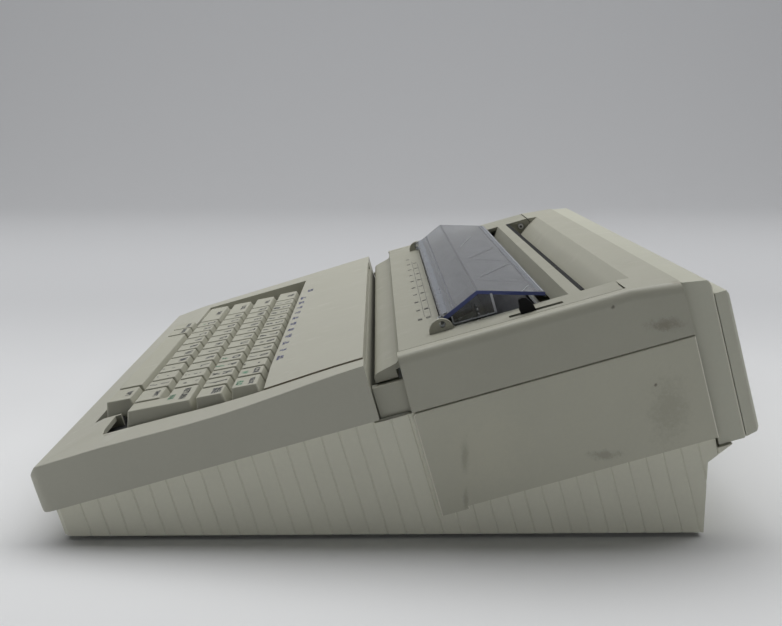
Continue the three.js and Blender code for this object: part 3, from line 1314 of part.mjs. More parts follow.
function footGeometry() {
  const foot = new THREE.CylinderGeometry(
    FOOT.radius, FOOT.radius - FOOT.taper, FOOT_HEIGHT - CLEARANCE, 24);
  foot.rotateX(quarterTurn);
  return foot;
}

// Finishes

const FINISH = {
  case: { color: 0xacad9e, roughness: 0.55, metalness: 0 },
  skirt: { color: 0x9c9d8f, roughness: 0.6, metalness: 0 },
  keycap: { color: 0xb4b4a8, roughness: 0.6, metalness: 0 },
  clear: { color: 0x5f6a78, roughness: 0.08, metalness: 0, transparent: true, opacity: 0.5 },
  black: { color: 0x101010, roughness: 0.45, metalness: 0 },
  rubber: { color: 0x1b1b1b, roughness: 0.85, metalness: 0 },
  steel: { color: 0x9a9c9e, roughness: 0.35, metalness: 0.9 },
  board: { color: 0x2f5b35, roughness: 0.6, metalness: 0 },
  grey: { color: 0x4a4c4e, roughness: 0.6, metalness: 0 },
};

const machine = new THREE.Group();
const deck = new THREE.Group();
deck.position.set(0, DECK_FRONT_Y, DECK_FRONT_HEIGHT);
deck.rotation.x = slope;
machine.add(deck);
const keyboard = new THREE.Group();
keyboard.position.set(0, KEYS.originS, 0);
keyboard.rotation.x = keyTilt;
deck.add(keyboard);

function place(parent, name, solid, finish) {
  const mesh = new THREE.Mesh(geometryOf(solid), new THREE.MeshStandardMaterial(FINISH[finish]));
  mesh.name = name;
  parent.add(mesh);
  return mesh;
}

place(deck, 'base_tray', baseTray(), 'skirt');
place(deck, 'keyboard_housing', keyboardHousing(), 'case');
place(deck, 'deck_panel', deckPanel(), 'case');
place(deck, 'rear_case', rearCase(), 'case');
place(deck, 'right_side_panel', sidePanel(1), 'case');
place(deck, 'left_side_panel', sidePanel(-1), 'case');
place(deck, 'rear_cover', rearCover(), 'case');
place(deck, 'rear_panel', rearPanel(), 'case');
place(deck, 'top_cover', topCover(), 'case');
place(deck, 'clear_cover', clearCover(), 'clear');
place(deck, 'paper_release_lever', paperReleaseLever(), 'black');

for (const [name, span] of Object.entries(SINGLE_KEYS)) {
  place(keyboard, name, singleKey(span), 'keycap');
}
for (const [name, bank] of Object.entries(KEY_BANKS)) {
  place(keyboard, name, keyBank(bank), 'keycap');
}
place(keyboard, 'return_key', returnKey(), 'keycap');
place(keyboard, 'space_bar', spaceBar(), 'keycap');
place(keyboard, 'keyboard_plate', keyboardPlate(), 'steel');
place(keyboard, 'contact_membrane', contactMembrane(), 'rubber');
place(keyboard, 'keyboard_circuit_board', keyboardBoard(), 'board');

place(deck, 'left_frame_plate', framePlate(FRAME.left, -1), 'steel');
place(deck, 'right_frame_plate', framePlate(FRAME.right, 1), 'steel');
place(deck, 'front_crossbar', frontCrossbar(), 'steel');
place(deck, 'platen_roller', platenRoller(), 'rubber');
place(deck, 'platen_shaft', platenShaft(), 'steel');
place(deck, 'platen_gear', platenGear(), 'grey');
place(deck, 'platen_motor', platenMotor(), 'steel');
place(deck, 'motor_pinion', motorPinion(), 'grey');
place(deck, 'feed_rollers', feedRollers(), 'rubber');
place(deck, 'paper_deflector', paperDeflector(), 'steel');
place(deck, 'carriage_rail', roundRail(RAIL), 'steel');
place(deck, 'guide_rail', roundRail(GUIDE), 'steel');
place(deck, 'carriage_motor', carriageMotor(), 'steel');
place(deck, 'drive_pulley', pulley(BELT.left), 'grey');
place(deck, 'idler_pulley', pulley(BELT.right), 'grey');
place(deck, 'carriage_belt', carriageBelt(), 'rubber');
place(deck, 'carriage_frame', carriageFrame(), 'grey');
place(deck, 'wheel_motor', wheelMotor(), 'steel');
place(deck, 'print_wheel', printWheel(), 'black');
place(deck, 'print_hammer', printHammer(), 'steel');
place(deck, 'ribbon_cassette', ribbonCassette(), 'black');
place(deck, 'main_circuit_board', mainBoard(), 'board');
place(deck, 'transformer', transformer(), 'grey');
place(deck, 'mains_inlet', mainsInlet(), 'black');
place(deck, 'mains_switch', mainsSwitch(), 'black');

for (const [name, x, y] of [
  ['front_left_foot', -1, FOOT.frontY], ['front_right_foot', 1, FOOT.frontY],
  ['rear_left_foot', -1, FOOT.rearY], ['rear_right_foot', 1, FOOT.rearY],
]) {
  const mesh = new THREE.Mesh(footGeometry(), new THREE.MeshStandardMaterial(FINISH.rubber));
  mesh.name = name;
  mesh.position.set(x * (HALF_WIDTH - FOOT.insetX), y, (FOOT_HEIGHT - CLEARANCE) / 2);
  machine.add(mesh);
}

export default machine;
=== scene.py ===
# %% [markdown]
# # An electronic typewriter
# The machine arrives as sixty closed solids that fit one another. This lesson gives them the
# soft edges, textured plastics and printed marks that a real machine has. The solids stay
# where they are: a piece is either finished on the spot, or a rounder copy takes its place.

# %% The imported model
import bmesh
import bpy
import math
from mathutils import Matrix, Vector


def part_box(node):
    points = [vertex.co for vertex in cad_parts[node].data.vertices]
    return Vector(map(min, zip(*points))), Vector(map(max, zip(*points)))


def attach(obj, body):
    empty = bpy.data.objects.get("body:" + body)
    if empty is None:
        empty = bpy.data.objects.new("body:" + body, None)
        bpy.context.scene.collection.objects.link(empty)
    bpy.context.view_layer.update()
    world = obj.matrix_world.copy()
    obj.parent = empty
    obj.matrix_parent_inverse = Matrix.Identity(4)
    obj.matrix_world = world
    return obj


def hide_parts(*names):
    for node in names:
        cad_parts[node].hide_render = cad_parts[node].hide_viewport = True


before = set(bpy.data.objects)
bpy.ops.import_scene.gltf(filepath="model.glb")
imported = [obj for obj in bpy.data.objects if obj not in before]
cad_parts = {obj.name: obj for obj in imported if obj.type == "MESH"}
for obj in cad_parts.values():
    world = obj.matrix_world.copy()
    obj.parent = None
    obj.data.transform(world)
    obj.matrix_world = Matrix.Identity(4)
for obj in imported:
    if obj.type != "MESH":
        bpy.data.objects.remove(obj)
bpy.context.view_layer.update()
print("solids:", len(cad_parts))

# %% [markdown]
# ## Two sloping frames
# Most of the case follows the slope of its deck, and the keys follow a slope of their own.
# Coordinates could be written in the level frame of the table, but then no number would look
# like a size on the machine. So each piece is shaped in millimetres in its own sloping
# frame (x across, y back along the slope, z square to it) and is settled into place last.

# %% The deck frame and the key frame
MM = 0.001
HALF_WIDTH = 198
DECK_SLOPE, KEY_TILT = math.radians(15.9), math.radians(-4.8)
DECK = Matrix.Translation((0, -0.18905, 0.0452)) @ Matrix.Rotation(DECK_SLOPE, 4, "X") @ Matrix.Scale(MM, 4)
KEY_PLANE = DECK @ Matrix.Translation((0, 116, 0)) @ Matrix.Rotation(KEY_TILT, 4, "X")
LEVEL = Matrix.Scale(MM, 4)


def colour(red, green, blue):
    """A colour read as 0 to 255 screen values, turned into the light values shaders use."""
    def light(value):
        share = value / 255
        return share / 12.92 if share <= 0.04045 else ((share + 0.055) / 1.055) ** 2.4
    return (light(red), light(green), light(blue), 1)


# %% [markdown]
# ## The camera
# The picture was taken from low on the operator's right. A camera could be aimed by eye, but
# the parallel edges of the case fix its place, so the measured place and lens are used.

# %% Camera


def placed(name, data):
    """A new object in the scene that shows the given data."""
    thing = bpy.data.objects.new(name, data)
    bpy.context.scene.collection.objects.link(thing)
    return thing


view_direction = Vector((-0.9807, 0.0140, -0.1953)).normalized()
camera_data = bpy.data.cameras.new("camera")
camera_data.lens = 46.73
camera_data.sensor_width = 36
camera_data.clip_start = 0.01
camera = placed("camera", camera_data)
camera.location = (0.6988, -0.00995, 0.2213)
camera.rotation_euler = view_direction.to_track_quat("-Z", "Y").to_euler()
bpy.context.scene.camera = camera
bpy.context.scene.view_settings.view_transform = "Standard"
print("camera height in mm:", round(camera.location.z / MM))

# %% [markdown]
# ## Node helpers
# A material is a small machine of nodes. Wiring each link by hand takes many lines, so short
# helpers add a node with its settings, join two sockets, and make the nodes used most often.

# %% Adding and joining nodes


def add_node(tree, kind, **settings):
    node = tree.nodes.new(kind)
    for name, value in settings.items():
        if hasattr(node, name):
            setattr(node, name, value)
        else:
            node.inputs[name.replace("_", " ")].default_value = value
    return node


def link(tree, source, target):
    tree.links.new(source, target)


def maths(tree, kind, first, second):
    node = add_node(tree, "ShaderNodeMath", operation=kind)
    for socket, value in zip(node.inputs, (first, second)):
        if isinstance(value, (int, float)):
            socket.default_value = value
        else:
            link(tree, value, socket)
    return node.outputs[0]


def product(tree, first, second):
    return maths(tree, "MULTIPLY", first, second)


def blend_colours(tree, share, first, second, kind="MIX"):
    node = add_node(tree, "ShaderNodeMix", data_type="RGBA", blend_type=kind)
    for socket, value in zip((node.inputs[0], node.inputs[6], node.inputs[7]), (share, first, second)):
        if isinstance(value, (int, float, tuple)):
            socket.default_value = value
        else:
            link(tree, value, socket)
    return node.outputs[2]


def swing(tree, tint, tone, low, high):
    """A colour that swings with tone between tint times low and tint times high."""
    ends = [tuple(min(1.0, c * share) for c in tint[:3]) + (1,) for share in (low, high)]
    return blend_colours(tree, tone, *ends)


def softly(tree, value, low, high, to_low=0.0, to_high=1.0):
    """Maps value from low..high to to_low..to_high with a smooth start and end."""
    node = add_node(tree, "ShaderNodeMapRange", interpolation_type="SMOOTHSTEP",
                    From_Min=low, From_Max=high, To_Min=to_low, To_Max=to_high)
    link(tree, value, node.inputs[0])
    return node.outputs[0]


def object_place(tree):
    """Object coordinates, so that a pattern keeps its size and moves with its piece."""
    return add_node(tree, "ShaderNodeTexCoord").outputs["Object"]


def noise(tree, place, size_mm, detail=2.0, roughness=0.5, distortion=0.0):
    """Noise whose features are about size_mm across."""
    node = add_node(tree, "ShaderNodeTexNoise", Scale=1 / (size_mm * MM), Detail=detail,
                    Roughness=roughness, Distortion=distortion)
    link(tree, place, node.inputs["Vector"])
    return node.outputs[0]


def spots(tree, place, size_mm, radius):
    """A mask of small scattered round spots, one in each cell of size_mm."""
    node = add_node(tree, "ShaderNodeTexVoronoi", Scale=1 / (size_mm * MM))
    link(tree, place, node.inputs["Vector"])
    return softly(tree, node.outputs["Distance"], radius, radius * 0.6)


def finish(tree, shader, shade, roughness):
    link(tree, shade, shader.inputs["Base Color"])
    link(tree, roughness, shader.inputs["Roughness"])


def add_bump(tree, shader, height, strength, relief_mm):
    bump = add_node(tree, "ShaderNodeBump", Strength=strength, Distance=relief_mm * MM)
    link(tree, height, bump.inputs["Height"])
    link(tree, bump.outputs[0], shader.inputs["Normal"])


# %% [markdown]
# ## Moulded grain as a node group
# The mould was etched, so every beige piece has the same fine grain, with a faint mottle where
# the colour was not mixed evenly. Nodes wired anew for each material would only repeat this, so
# a group with named inputs is built once.

# %% Node group: moulded grain


def new_group(name, inputs, outputs):
    """A node group with number sockets, whose inputs start at 1."""
    group = bpy.data.node_groups.new(name, "ShaderNodeTree")
    for label in inputs:
        group.interface.new_socket(label, in_out="INPUT", socket_type="NodeSocketFloat").default_value = 1.0
    for label in outputs:
        group.interface.new_socket(label, in_out="OUTPUT", socket_type="NodeSocketFloat")
    return group, group.nodes.new("NodeGroupInput"), group.nodes.new("NodeGroupOutput")


grain_group, grain_in, grain_out = new_group("moulded_grain", ["Grain", "Mottle"], ["Height", "Tone"])
grain_place = object_place(grain_group)
fine = noise(grain_group, grain_place, 0.7, 2.0, 0.6)
pores = add_node(grain_group, "ShaderNodeTexVoronoi", Scale=1 / (0.9 * MM))
link(grain_group, grain_place, pores.inputs["Vector"])
etched = maths(grain_group, "ADD", fine, product(grain_group, pores.outputs["Distance"], 0.6))
link(grain_group, product(grain_group, etched, grain_in.outputs["Grain"]), grain_out.inputs["Height"])
cloud = noise(grain_group, grain_place, 42, 4.0, 0.6)
speck = noise(grain_group, grain_place, 2.2, 1.0)
uneven = maths(grain_group, "ADD", maths(grain_group, "SUBTRACT", cloud, 0.5),
               product(grain_group, maths(grain_group, "SUBTRACT", speck, 0.5), 0.35))
link(grain_group, product(grain_group, uneven, grain_in.outputs["Mottle"]), grain_out.inputs["Tone"])

# %% [markdown]
# ## Dust and handling marks as a second group
# Dust gathers on upward faces, and hands and sleeves rub the plastic. Dust could be geometry,
# but it only changes colour and gloss, so a mask is enough: upward faces times cloudy noise
# for dust, stretched noise for rubbed streaks.

# %% Node group: dust and rubbing
dust_group, dust_in, dust_out = new_group("dust_and_rubbing", ["Dust", "Rubbing"], ["Dust", "Rubbing"])
dust_place = object_place(dust_group)
facing = add_node(dust_group, "ShaderNodeSeparateXYZ")
link(dust_group, add_node(dust_group, "ShaderNodeNewGeometry").outputs["Normal"], facing.inputs[0])
upward = softly(dust_group, facing.outputs["Z"], 0.55, 0.98)
dusty = softly(dust_group, noise(dust_group, dust_place, 16, 5.0, 0.65), 0.46, 0.78)
link(dust_group, product(dust_group, product(dust_group, upward, dusty), dust_in.outputs["Dust"]),
     dust_out.inputs["Dust"])
stretched = add_node(dust_group, "ShaderNodeMapping", Scale=(1.0, 0.25, 1.0))
link(dust_group, dust_place, stretched.inputs["Vector"])
streaks = softly(dust_group, noise(dust_group, stretched.outputs[0], 9, 6.0, 0.7), 0.52, 0.74)
link(dust_group, product(dust_group, streaks, dust_in.outputs["Rubbing"]), dust_out.inputs["Rubbing"])

# %% [markdown]
# ## Beige plastics
# One resin. The flanks, rear shells and skirt are painted paler than the deck, painted light for
# the side that faces the viewer, and the top cover is darker. One function builds each variant
# from its own colour, so all share grain and dust but none looks cloned.

# %% Plastic materials


def new_material(name):
    """A material with its node tree, its Principled shader and Object coordinates."""
    material = bpy.data.materials.new(name)
    material.use_nodes = True
    tree = material.node_tree
    return material, tree, tree.nodes["Principled BSDF"], object_place(tree)


def plastic(name, tint, roughness=0.5, grain=1.0, mottle=0.05, dust=0.25, stains=()):
    """Aged moulded plastic. stains: (colour, share, centre in metres, radii in metres)."""
    material, tree, shader, place = new_material(name)
    texture = add_node(tree, "ShaderNodeGroup", node_tree=grain_group, Grain=grain)
    wear = add_node(tree, "ShaderNodeGroup", node_tree=dust_group, Dust=dust)
    tone = softly(tree, texture.outputs["Tone"], -0.5, 0.5, 0.5 - mottle, 0.5 + mottle)
    shade = swing(tree, tint, tone, 0.55, 1.22)
    for stain, share, centre, radii in stains:
        around = add_node(tree, "ShaderNodeMapping", vector_type="TEXTURE", Location=centre, Scale=radii)
        link(tree, place, around.inputs["Vector"])
        distance = add_node(tree, "ShaderNodeVectorMath", operation="LENGTH")
        link(tree, around.outputs[0], distance.inputs[0])
        frayed = product(tree, noise(tree, place, 4, 6.0, 0.8), 2.2)
        ragged = maths(tree, "ADD", distance.outputs["Value"], frayed)
        mask = product(tree, softly(tree, ragged, 2.1, 1.2), share)
        shade = blend_colours(tree, mask, shade, stain)
    finish(tree, shader, blend_colours(tree, wear.outputs["Dust"], shade, (0.42, 0.41, 0.37, 1)),
           softly(tree, wear.outputs["Rubbing"], 0, 1, roughness, roughness - 0.13))
    add_bump(tree, shader, texture.outputs["Height"], 0.35, 0.05)
    return material


stain_brown = colour(98, 92, 72)
side_stains = [
    (stain_brown, 0.45, (0.198, 0.0355, 0.0465), (0.004, 0.003, 0.012)),
    (stain_brown, 0.35, (0.198, 0.0364, 0.0218), (0.004, 0.002, 0.009)),
    (colour(104, 98, 84), 0.4, (0.198, 0.1083, 0.0461), (0.004, 0.012, 0.0035)),
    (colour(188, 186, 166), 0.3, (0.198, 0.0485, 0.0491), (0.006, 0.03, 0.028)),
    (colour(126, 122, 104), 0.3, (0.198, 0.140, 0.070), (0.004, 0.014, 0.024)),
    (colour(70, 64, 52), 0.8, (0.198, 0.133, 0.0836), (0.004, 0.0012, 0.0012)),
]
case_beige = plastic("case_beige", colour(177, 176, 162))
cover_beige = plastic("cover_beige", colour(159, 158, 143))
rear_beige = plastic("rear_beige", colour(171, 170, 155), stains=[
    (colour(60, 56, 44), 0.8, (0.198, 0.1091, 0.1243), (0.004, 0.0016, 0.0016)),
    (colour(104, 100, 82), 0.55, (0.198, 0.1359, 0.115), (0.004, 0.012, 0.005)),
    (colour(128, 120, 98), 0.6, (0.196, 0.1408, 0.1365), (0.006, 0.006, 0.0016)),
])
# The flank, shell and skirt colours are paler as painted light for the side in shade.
lit_side_beige = plastic("lit_side_beige", colour(187, 186, 169), stains=side_stains)
lit_shell_beige = plastic("lit_shell_beige", colour(191, 191, 175))
# A paler beige laid on narrow rounded edges as a painted highlight.
edge_highlight_beige = plastic("painted_edge_highlight", colour(226, 224, 208), mottle=0.02, dust=0)
lit_skirt_beige = plastic("lit_skirt_beige", colour(212, 211, 194), roughness=0.55, mottle=0.07)
key_beige = plastic("key_beige", colour(177, 176, 160), roughness=0.46, grain=0.7, mottle=0.03, dust=0.12)
print("plastics:", [m.name for m in bpy.data.materials if "beige" in m.name])

# %% [markdown]
# ## Working on meshes
# The operators act on whatever is selected, as they do under the mouse. So each helper clears
# the selection first, and picks faces or edges by where they lie.

# %% Selecting and bevelling


def close_up():
    bpy.ops.object.mode_set(mode="OBJECT")


def drop_all():
    bpy.ops.object.select_all(action="DESELECT")


def alone(piece):
    if bpy.context.mode != "OBJECT":
        close_up()
    drop_all()
    piece.select_set(True)
    bpy.context.view_layer.objects.active = piece


def open_up(piece):
    alone(piece)
    bpy.ops.object.mode_set(mode="EDIT")


def take_all():
    bpy.ops.mesh.select_all(action="SELECT")


def pick(piece, kind, test):
    """Selects the vertices, edges or faces of the open piece that pass the test."""
    bpy.ops.mesh.select_mode(type=kind)
    bpy.ops.mesh.select_all(action="DESELECT")
    mesh = bmesh.from_edit_mesh(piece.data)
    mesh.normal_update()
    parts = {"VERT": mesh.verts, "EDGE": mesh.edges, "FACE": mesh.faces}[kind]
    found = [part for part in parts if test(part)]
    for part in found:
        part.select_set(True)
    bmesh.update_edit_mesh(piece.data)
    return len(found)


def cut_across(place, normal):
    """Cuts the whole open mesh along a plane and keeps both sides."""
    take_all()
    bpy.ops.mesh.bisect(plane_co=place, plane_no=normal)


def is_sharp(edge, degrees=25):
    return len(edge.link_faces) == 2 and edge.calc_face_angle(0) > math.radians(degrees)


def round_edges(piece, test, radius, segments=3, clamp=True):
    """Bevels the sharp edges of the open piece whose two ends both pass the test."""
    count = pick(piece, "EDGE", lambda e: is_sharp(e) and all(test(v.co) for v in e.verts))
    if count:
        bpy.ops.mesh.bevel(offset=radius, segments=segments, affect="EDGES", clamp_overlap=clamp)
    return count


def apply_modifier(piece, kind, **settings):
    alone(piece)
    modifier = piece.modifiers.new(kind.lower(), kind)
    for name, value in settings.items():
        setattr(modifier, name, value)
    bpy.ops.object.modifier_apply(modifier=modifier.name)


# %% [markdown]
# ## A rounder copy of a solid
# The solids have knife-sharp corners, and no moulded part has. Modelling each part anew would
# risk its fit, so it is copied, its triangles are merged back into whole faces, and then its
# edges are rounded: large radii where the real one has them, and a small one elsewhere.

# %% Copying and settling a piece
finished = []


def copied(node, name):
    """An open copy of the node's mesh in mm in the deck frame, its loose triangles merged."""
    piece = placed(name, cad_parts[node].data.copy())
    piece.data.materials.clear()
    piece.data.transform(DECK.inverted())
    open_up(piece)
    take_all()
    bpy.ops.mesh.customdata_custom_splitnormals_clear()
    bpy.ops.mesh.remove_doubles(threshold=0.004)
    bpy.ops.mesh.dissolve_limited(angle_limit=math.radians(0.4))
    return piece


def settle(piece, body, material, *nodes, place=DECK, small=0.4, angle=32, slot=None):
    """Rounds the last edges, moves the mesh into place and hands the piece to its body."""
    alone(piece)
    if small:
        apply_modifier(piece, "BEVEL", width=small, segments=2, limit_method="ANGLE",
                       angle_limit=math.radians(angle), use_clamp_overlap=True, harden_normals=False)
    piece.data.transform(place)
    alone(piece)
    bpy.ops.object.shade_smooth_by_angle(angle=math.radians(angle))
    apply_modifier(piece, "WEIGHTED_NORMAL", keep_sharp=True, weight=60)
    if material:
        piece.data.materials.clear()
        piece.data.materials.append(material)
    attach(piece, body)
    if nodes:
        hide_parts(*nodes)
    finished.append(piece.name)
    print(piece.name, len(piece.data.polygons), "faces")
    return piece


# %% [markdown]
# ## Front upper case
# The keyboard housing is one thin moulding. Its near rim hangs about two millimetres lower
# beside the keys than a flat deck would. A rim modelled anew would no longer meet its
# neighbours, so the copy is cut at stations and lowered there. The flanks are softly rounded,
# the mouth of the well only slightly.

# %% Housing
SAG_DEPTH, SAG_MIDDLE, SAG_REACH = 2.4, 100, 80
SAG_STATIONS = range(36, 165, 16)


def sag_of(y):
    """How far the near rim hangs below the deck at y, in mm: a smooth bump beside the keys."""
    away = (y - SAG_MIDDLE) / SAG_REACH
    return SAG_DEPTH * max(0.0, math.cos(math.radians(90 * away))) ** 2 if abs(away) < 1 else 0.0


def sag_near_rim(piece, inner):
    """Cuts the open piece at the stations and lowers the top of its near side beyond x = inner."""
    for y in SAG_STATIONS:
        cut_across((0, y, 0), (0, 1, 0))

    def near(v):
        return v.co.x > inner and v.co.z > -12
    places = {round(v.co.y, 1) for v in bmesh.from_edit_mesh(piece.data).verts if near(v)}
    for y in sorted(places):
        pick(piece, "VERT", lambda v: near(v) and round(v.co.y, 1) == y)
        bpy.ops.transform.translate(value=(0, 0, -sag_of(y)))
    return len(places)


housing = copied("keyboard_housing", "housing")
print("stations lowered:", sag_near_rim(housing, 176))
print("flank edges:", round_edges(housing, lambda c: abs(c.x) > 197 and c.z > -22 and c.y < 178.5, 7, 6))
round_edges(housing, lambda c: c.y < 5 and abs(c.x) < 197.5 and c.z > -29, 1.6, 3)
settle(housing, "case", case_beige, "keyboard_housing", slot="case_plastic")

# %% [markdown]
# ## Rear case, side panels and rear covers
# These carry the crisp highlights of the picture, so each keeps its own radius. The bright
# lines on the upright edges are painted highlights: only the narrow rounded faces get a paler
# plastic, which a tint over the whole piece could not show. The skirt is shaped here too: its
# grooves look shallower than the solid's, and its rim closes the joint under the housing.

# %% Rear mouldings


def paint_edge_highlights(piece, test):
    """Paints a highlight: the narrow rounded faces that pass the test get a paler plastic."""
    piece.data.materials.append(edge_highlight_beige)
    count = 0
    for face in piece.data.polygons:
        turned = min(abs(face.normal.x), abs(face.normal.y)) > 0.2
        if turned and abs(face.center.x) > 0.19 and test(face):
            face.material_index = len(piece.data.materials) - 1
            count += 1
    # Counts the faces that take the painted highlight.
    print(piece.name, "rubbed faces", count)


rear = copied("rear_case", "rear_upper_case")
round_edges(rear, lambda c: abs(c.x) > 197.5 and c.z > -4, 6, 6, clamp=False)
settle(rear, "case", rear_beige, "rear_case", slot="case_plastic")
paint_edge_highlights(rear, lambda f: abs(f.normal.z) < 0.75)

for node, side in (("right_side_panel", 1), ("left_side_panel", -1)):
    panel = copied(node, node.replace("_panel", "_flank"))
    round_edges(panel, lambda c: side * c.x > 197.5 and (c.y > 344 or c.y < 197.5), 0.9, 3)
    pick(panel, "VERT", lambda v: side * v.co.x > 197.9)
    bpy.ops.transform.translate(value=(-side * 0.04, 0, 0))
    settle(panel, "case", lit_side_beige, node, small=0.3, slot="case_plastic")
    paint_edge_highlights(panel, lambda f: abs(f.normal.z) < 0.75)

cover_back = copied("rear_cover", "rear_shell")
round_edges(cover_back, lambda c: c.y > 358 and c.z < -4, 1.6, 4)
settle(cover_back, "case", lit_shell_beige, "rear_cover", slot="case_plastic")
paint_edge_highlights(cover_back, lambda f: f.normal.y > 0)

back_plate = copied("rear_panel", "back_plate")
round_edges(back_plate, lambda c: c.y > 364, 1.2, 3)
settle(back_plate, "case", lit_shell_beige, "rear_panel", small=0.3, slot="case_plastic")

tray = copied("base_tray", "ribbed_base")
for side in (1, -1):
    print("groove corners:", pick(tray, "VERT", lambda v: abs(side * v.co.x - 194.9) < 0.02))
    bpy.ops.transform.translate(value=(side * 0.6, 0, 0))
print("skirt rim:", pick(tray, "VERT", lambda v: v.co.z > -32 and v.co.y < 176 and (
    abs(v.co.x) > 195 or v.co.y < 3)))
bpy.ops.transform.translate(value=(0, 0, 1.1))
settle(tray, "case", lit_skirt_beige, "base_tray", small=0.18, slot="skirt_plastic")

# %% [markdown]
# ## Top cover
# The lip that meets the housing is rolled over in the real moulding, and the hinge arms are
# round. The profile already has the roll in short flats, so smooth shading joins them.

# %% Top cover
top = copied("top_cover", "hood")
settle(top, "top_cover", cover_beige, "top_cover", small=0.45, angle=38, slot="case_plastic")

# %% [markdown]
# ## One key cap
# A cap is a low tapered block with a shallow dish for the finger. It could be one box with a
# bevel, but fingers and light both find the dish. The cube's top is drawn in, most of all at
# the rear, its uprights and rim are bevelled, and the top is extruded down in shrinking rings.

# %% The cap
PITCH = 19.05
CAP_HEIGHT = 9
CAP_GAP = 0.375
Q_LEFT = HALF_WIDTH - 19.44 - 13.1 * PITCH
SIDE_INSET, FRONT_INSET, REAR_INSET = 1.4, 1.4, 3.2


def key_x(unit):
    return Q_LEFT + unit * PITCH


def row_middle(row):
    return -2.5 - row * PITCH


def block(name, low, high):
    """A cube from one corner to the other, in the frame the piece is shaped in."""
    drop_all()
    bpy.ops.mesh.primitive_cube_add(size=1, location=[(a + b) / 2 for a, b in zip(low, high)],
                                    scale=[b - a for a, b in zip(low, high)])
    piece = bpy.context.object
    piece.name = name
    bpy.ops.object.transform_apply(location=True, rotation=True, scale=True)
    return piece


def soften_rim(cap):
    """Bevels the uprights and the top rim of the open cap."""
    pick(cap, "EDGE", lambda e: is_sharp(e) and abs(e.verts[0].co.z - e.verts[1].co.z) > 3)
    bpy.ops.mesh.bevel(offset=1.3, segments=3, affect="EDGES")
    pick(cap, "EDGE", lambda e: is_sharp(e) and min(v.co.z for v in e.verts) > -0.01)
    bpy.ops.mesh.bevel(offset=0.6, segments=3, affect="EDGES", clamp_overlap=True)


def sink_dish(cap, centre, half_x, half_y):
    """Rings of the open cap's top, each drawn in towards the middle and pushed a little deeper."""
    for step, depth in ((0.5, 0.03), (1.3, 0.13), (1.7, 0.17), (1.6, 0.08)):
        pick(cap, "FACE", lambda f: f.normal.z > 0.99 and len(f.verts) > 8)
        bpy.ops.mesh.extrude_region_move(TRANSFORM_OT_translate={"value": (0, 0, -depth)})
        shrink = (1 - step / half_x, 1 - step / half_y, 1)
        bpy.ops.transform.resize(value=shrink, center_override=(*centre, 0))
        half_x, half_y = half_x - step, half_y - step


def key_cap(name, left, right, row, lift=0.0, right_inset=SIDE_INSET):
    """A cap between left and right in its row, its top lift mm above the key plane."""
    front, rear = row_middle(row) - PITCH / 2, row_middle(row) + PITCH / 2
    low = (left + CAP_GAP, front + CAP_GAP, -CAP_HEIGHT)
    high = (right - CAP_GAP, rear - CAP_GAP, lift)
    cap = block(name, low, high)
    top_low = (low[0] + SIDE_INSET, low[1] + FRONT_INSET)
    top_high = (high[0] - right_inset, high[1] - REAR_INSET)
    centre = [(a + b) / 2 for a, b in zip(top_low, top_high)]
    half = [(b - a) / 2 for a, b in zip(top_low, top_high)]
    open_up(cap)
    pick(cap, "FACE", lambda f: f.normal.z > 0.9)
    bpy.ops.transform.translate(value=(centre[0] - (left + right) / 2, centre[1] - (front + rear) / 2, 0))
    shrink = [2 * half[i] / (high[i] - low[i]) for i in (0, 1)]
    bpy.ops.transform.resize(value=(*shrink, 1), center_override=(*centre, lift))
    soften_rim(cap)
    sink_dish(cap, centre, half[0] - 0.7, half[1] - 0.7)
    close_up()
    return cap


def stem(x, y):
    return block("stem", (x - 2.5, y - 2.5, -15.4), (x + 2.5, y + 2.5, 1 - CAP_HEIGHT))


def joined(pieces, name):
    alone(pieces[0])
    for piece in pieces:
        piece.select_set(True)
    bpy.ops.object.join()
    pieces[0].name = name
    return pieces[0]


# %% [markdown]
# ## Printed legends
# Legends are pad-printed and follow the dish. As flat text they would float over its middle,
# so each is turned into a mesh and projected down onto its cap by a Shrinkwrap modifier. The
# built-in letters are thin. Swelling their outlines breaks them, so each is struck four times
# a little apart. Letters stand in the rear half of a cap, shifted signs before them, and a few
# keys carry a second function in green.

# %% Inks and the legend maker


def ink(name, tint):
    material, tree, shader, place = new_material(name)
    worn = softly(tree, noise(tree, place, 0.8, 3.0, 0.7), 0.3, 0.7)
    paler = tuple(c * 0.85 + 0.04 for c in tint[:3]) + (1,)
    link(tree, blend_colours(tree, worn, paler, tint), shader.inputs["Base Color"])
    shader.inputs["Roughness"].default_value = 0.42
    return material


dark_ink = ink("dark_ink", colour(34, 36, 40))
green_ink = ink("green_ink", colour(66, 132, 98))
blue_ink = ink("blue_ink", colour(74, 80, 142))


def printed(text, x, y, size, surface=None, lift=2.5, wide=1.0, bold=0.15):
    """Flat lettering centred on x, y, struck four times bold mm apart and laid on a surface."""
    drop_all()
    bpy.ops.object.text_add(location=(0, 0, 0))
    for setting, value in (("body", text), ("size", size), ("align_x", "CENTER"), ("align_y", "CENTER"),
                           ("space_line", 0.85), ("offset", size * 0.012), ("resolution_u", 2)):
        setattr(bpy.context.object.data, setting, value)
    bpy.ops.object.convert(target="MESH")
    words = bpy.context.object
    words.data.transform(Matrix.Translation((x, y, lift)) @ Matrix.Diagonal((wide, 1, 1, 1)))
    strikes = [words]
    for shift in ((bold, 0, 0), (0, bold, 0), (bold, bold, 0)):
        strikes.append(placed("strike", words.data.copy()))
        strikes[-1].data.transform(Matrix.Translation(shift))
    words = joined(strikes, "strikes")
    if surface:
        apply_modifier(words, "SHRINKWRAP", target=surface, wrap_method="PROJECT", use_project_z=True,
                       use_negative_direction=True, use_positive_direction=False, offset=0.03)
    return words


def lay_print(name, pieces, body, material, place=DECK):
    """Joins the prints of one ink, moves them into place and hands them to their body."""
    words = joined(pieces, name)
    words.data.transform(place)
    words.data.materials.clear()
    words.data.materials.append(material)
    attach(words, body)
    finished.append(name)


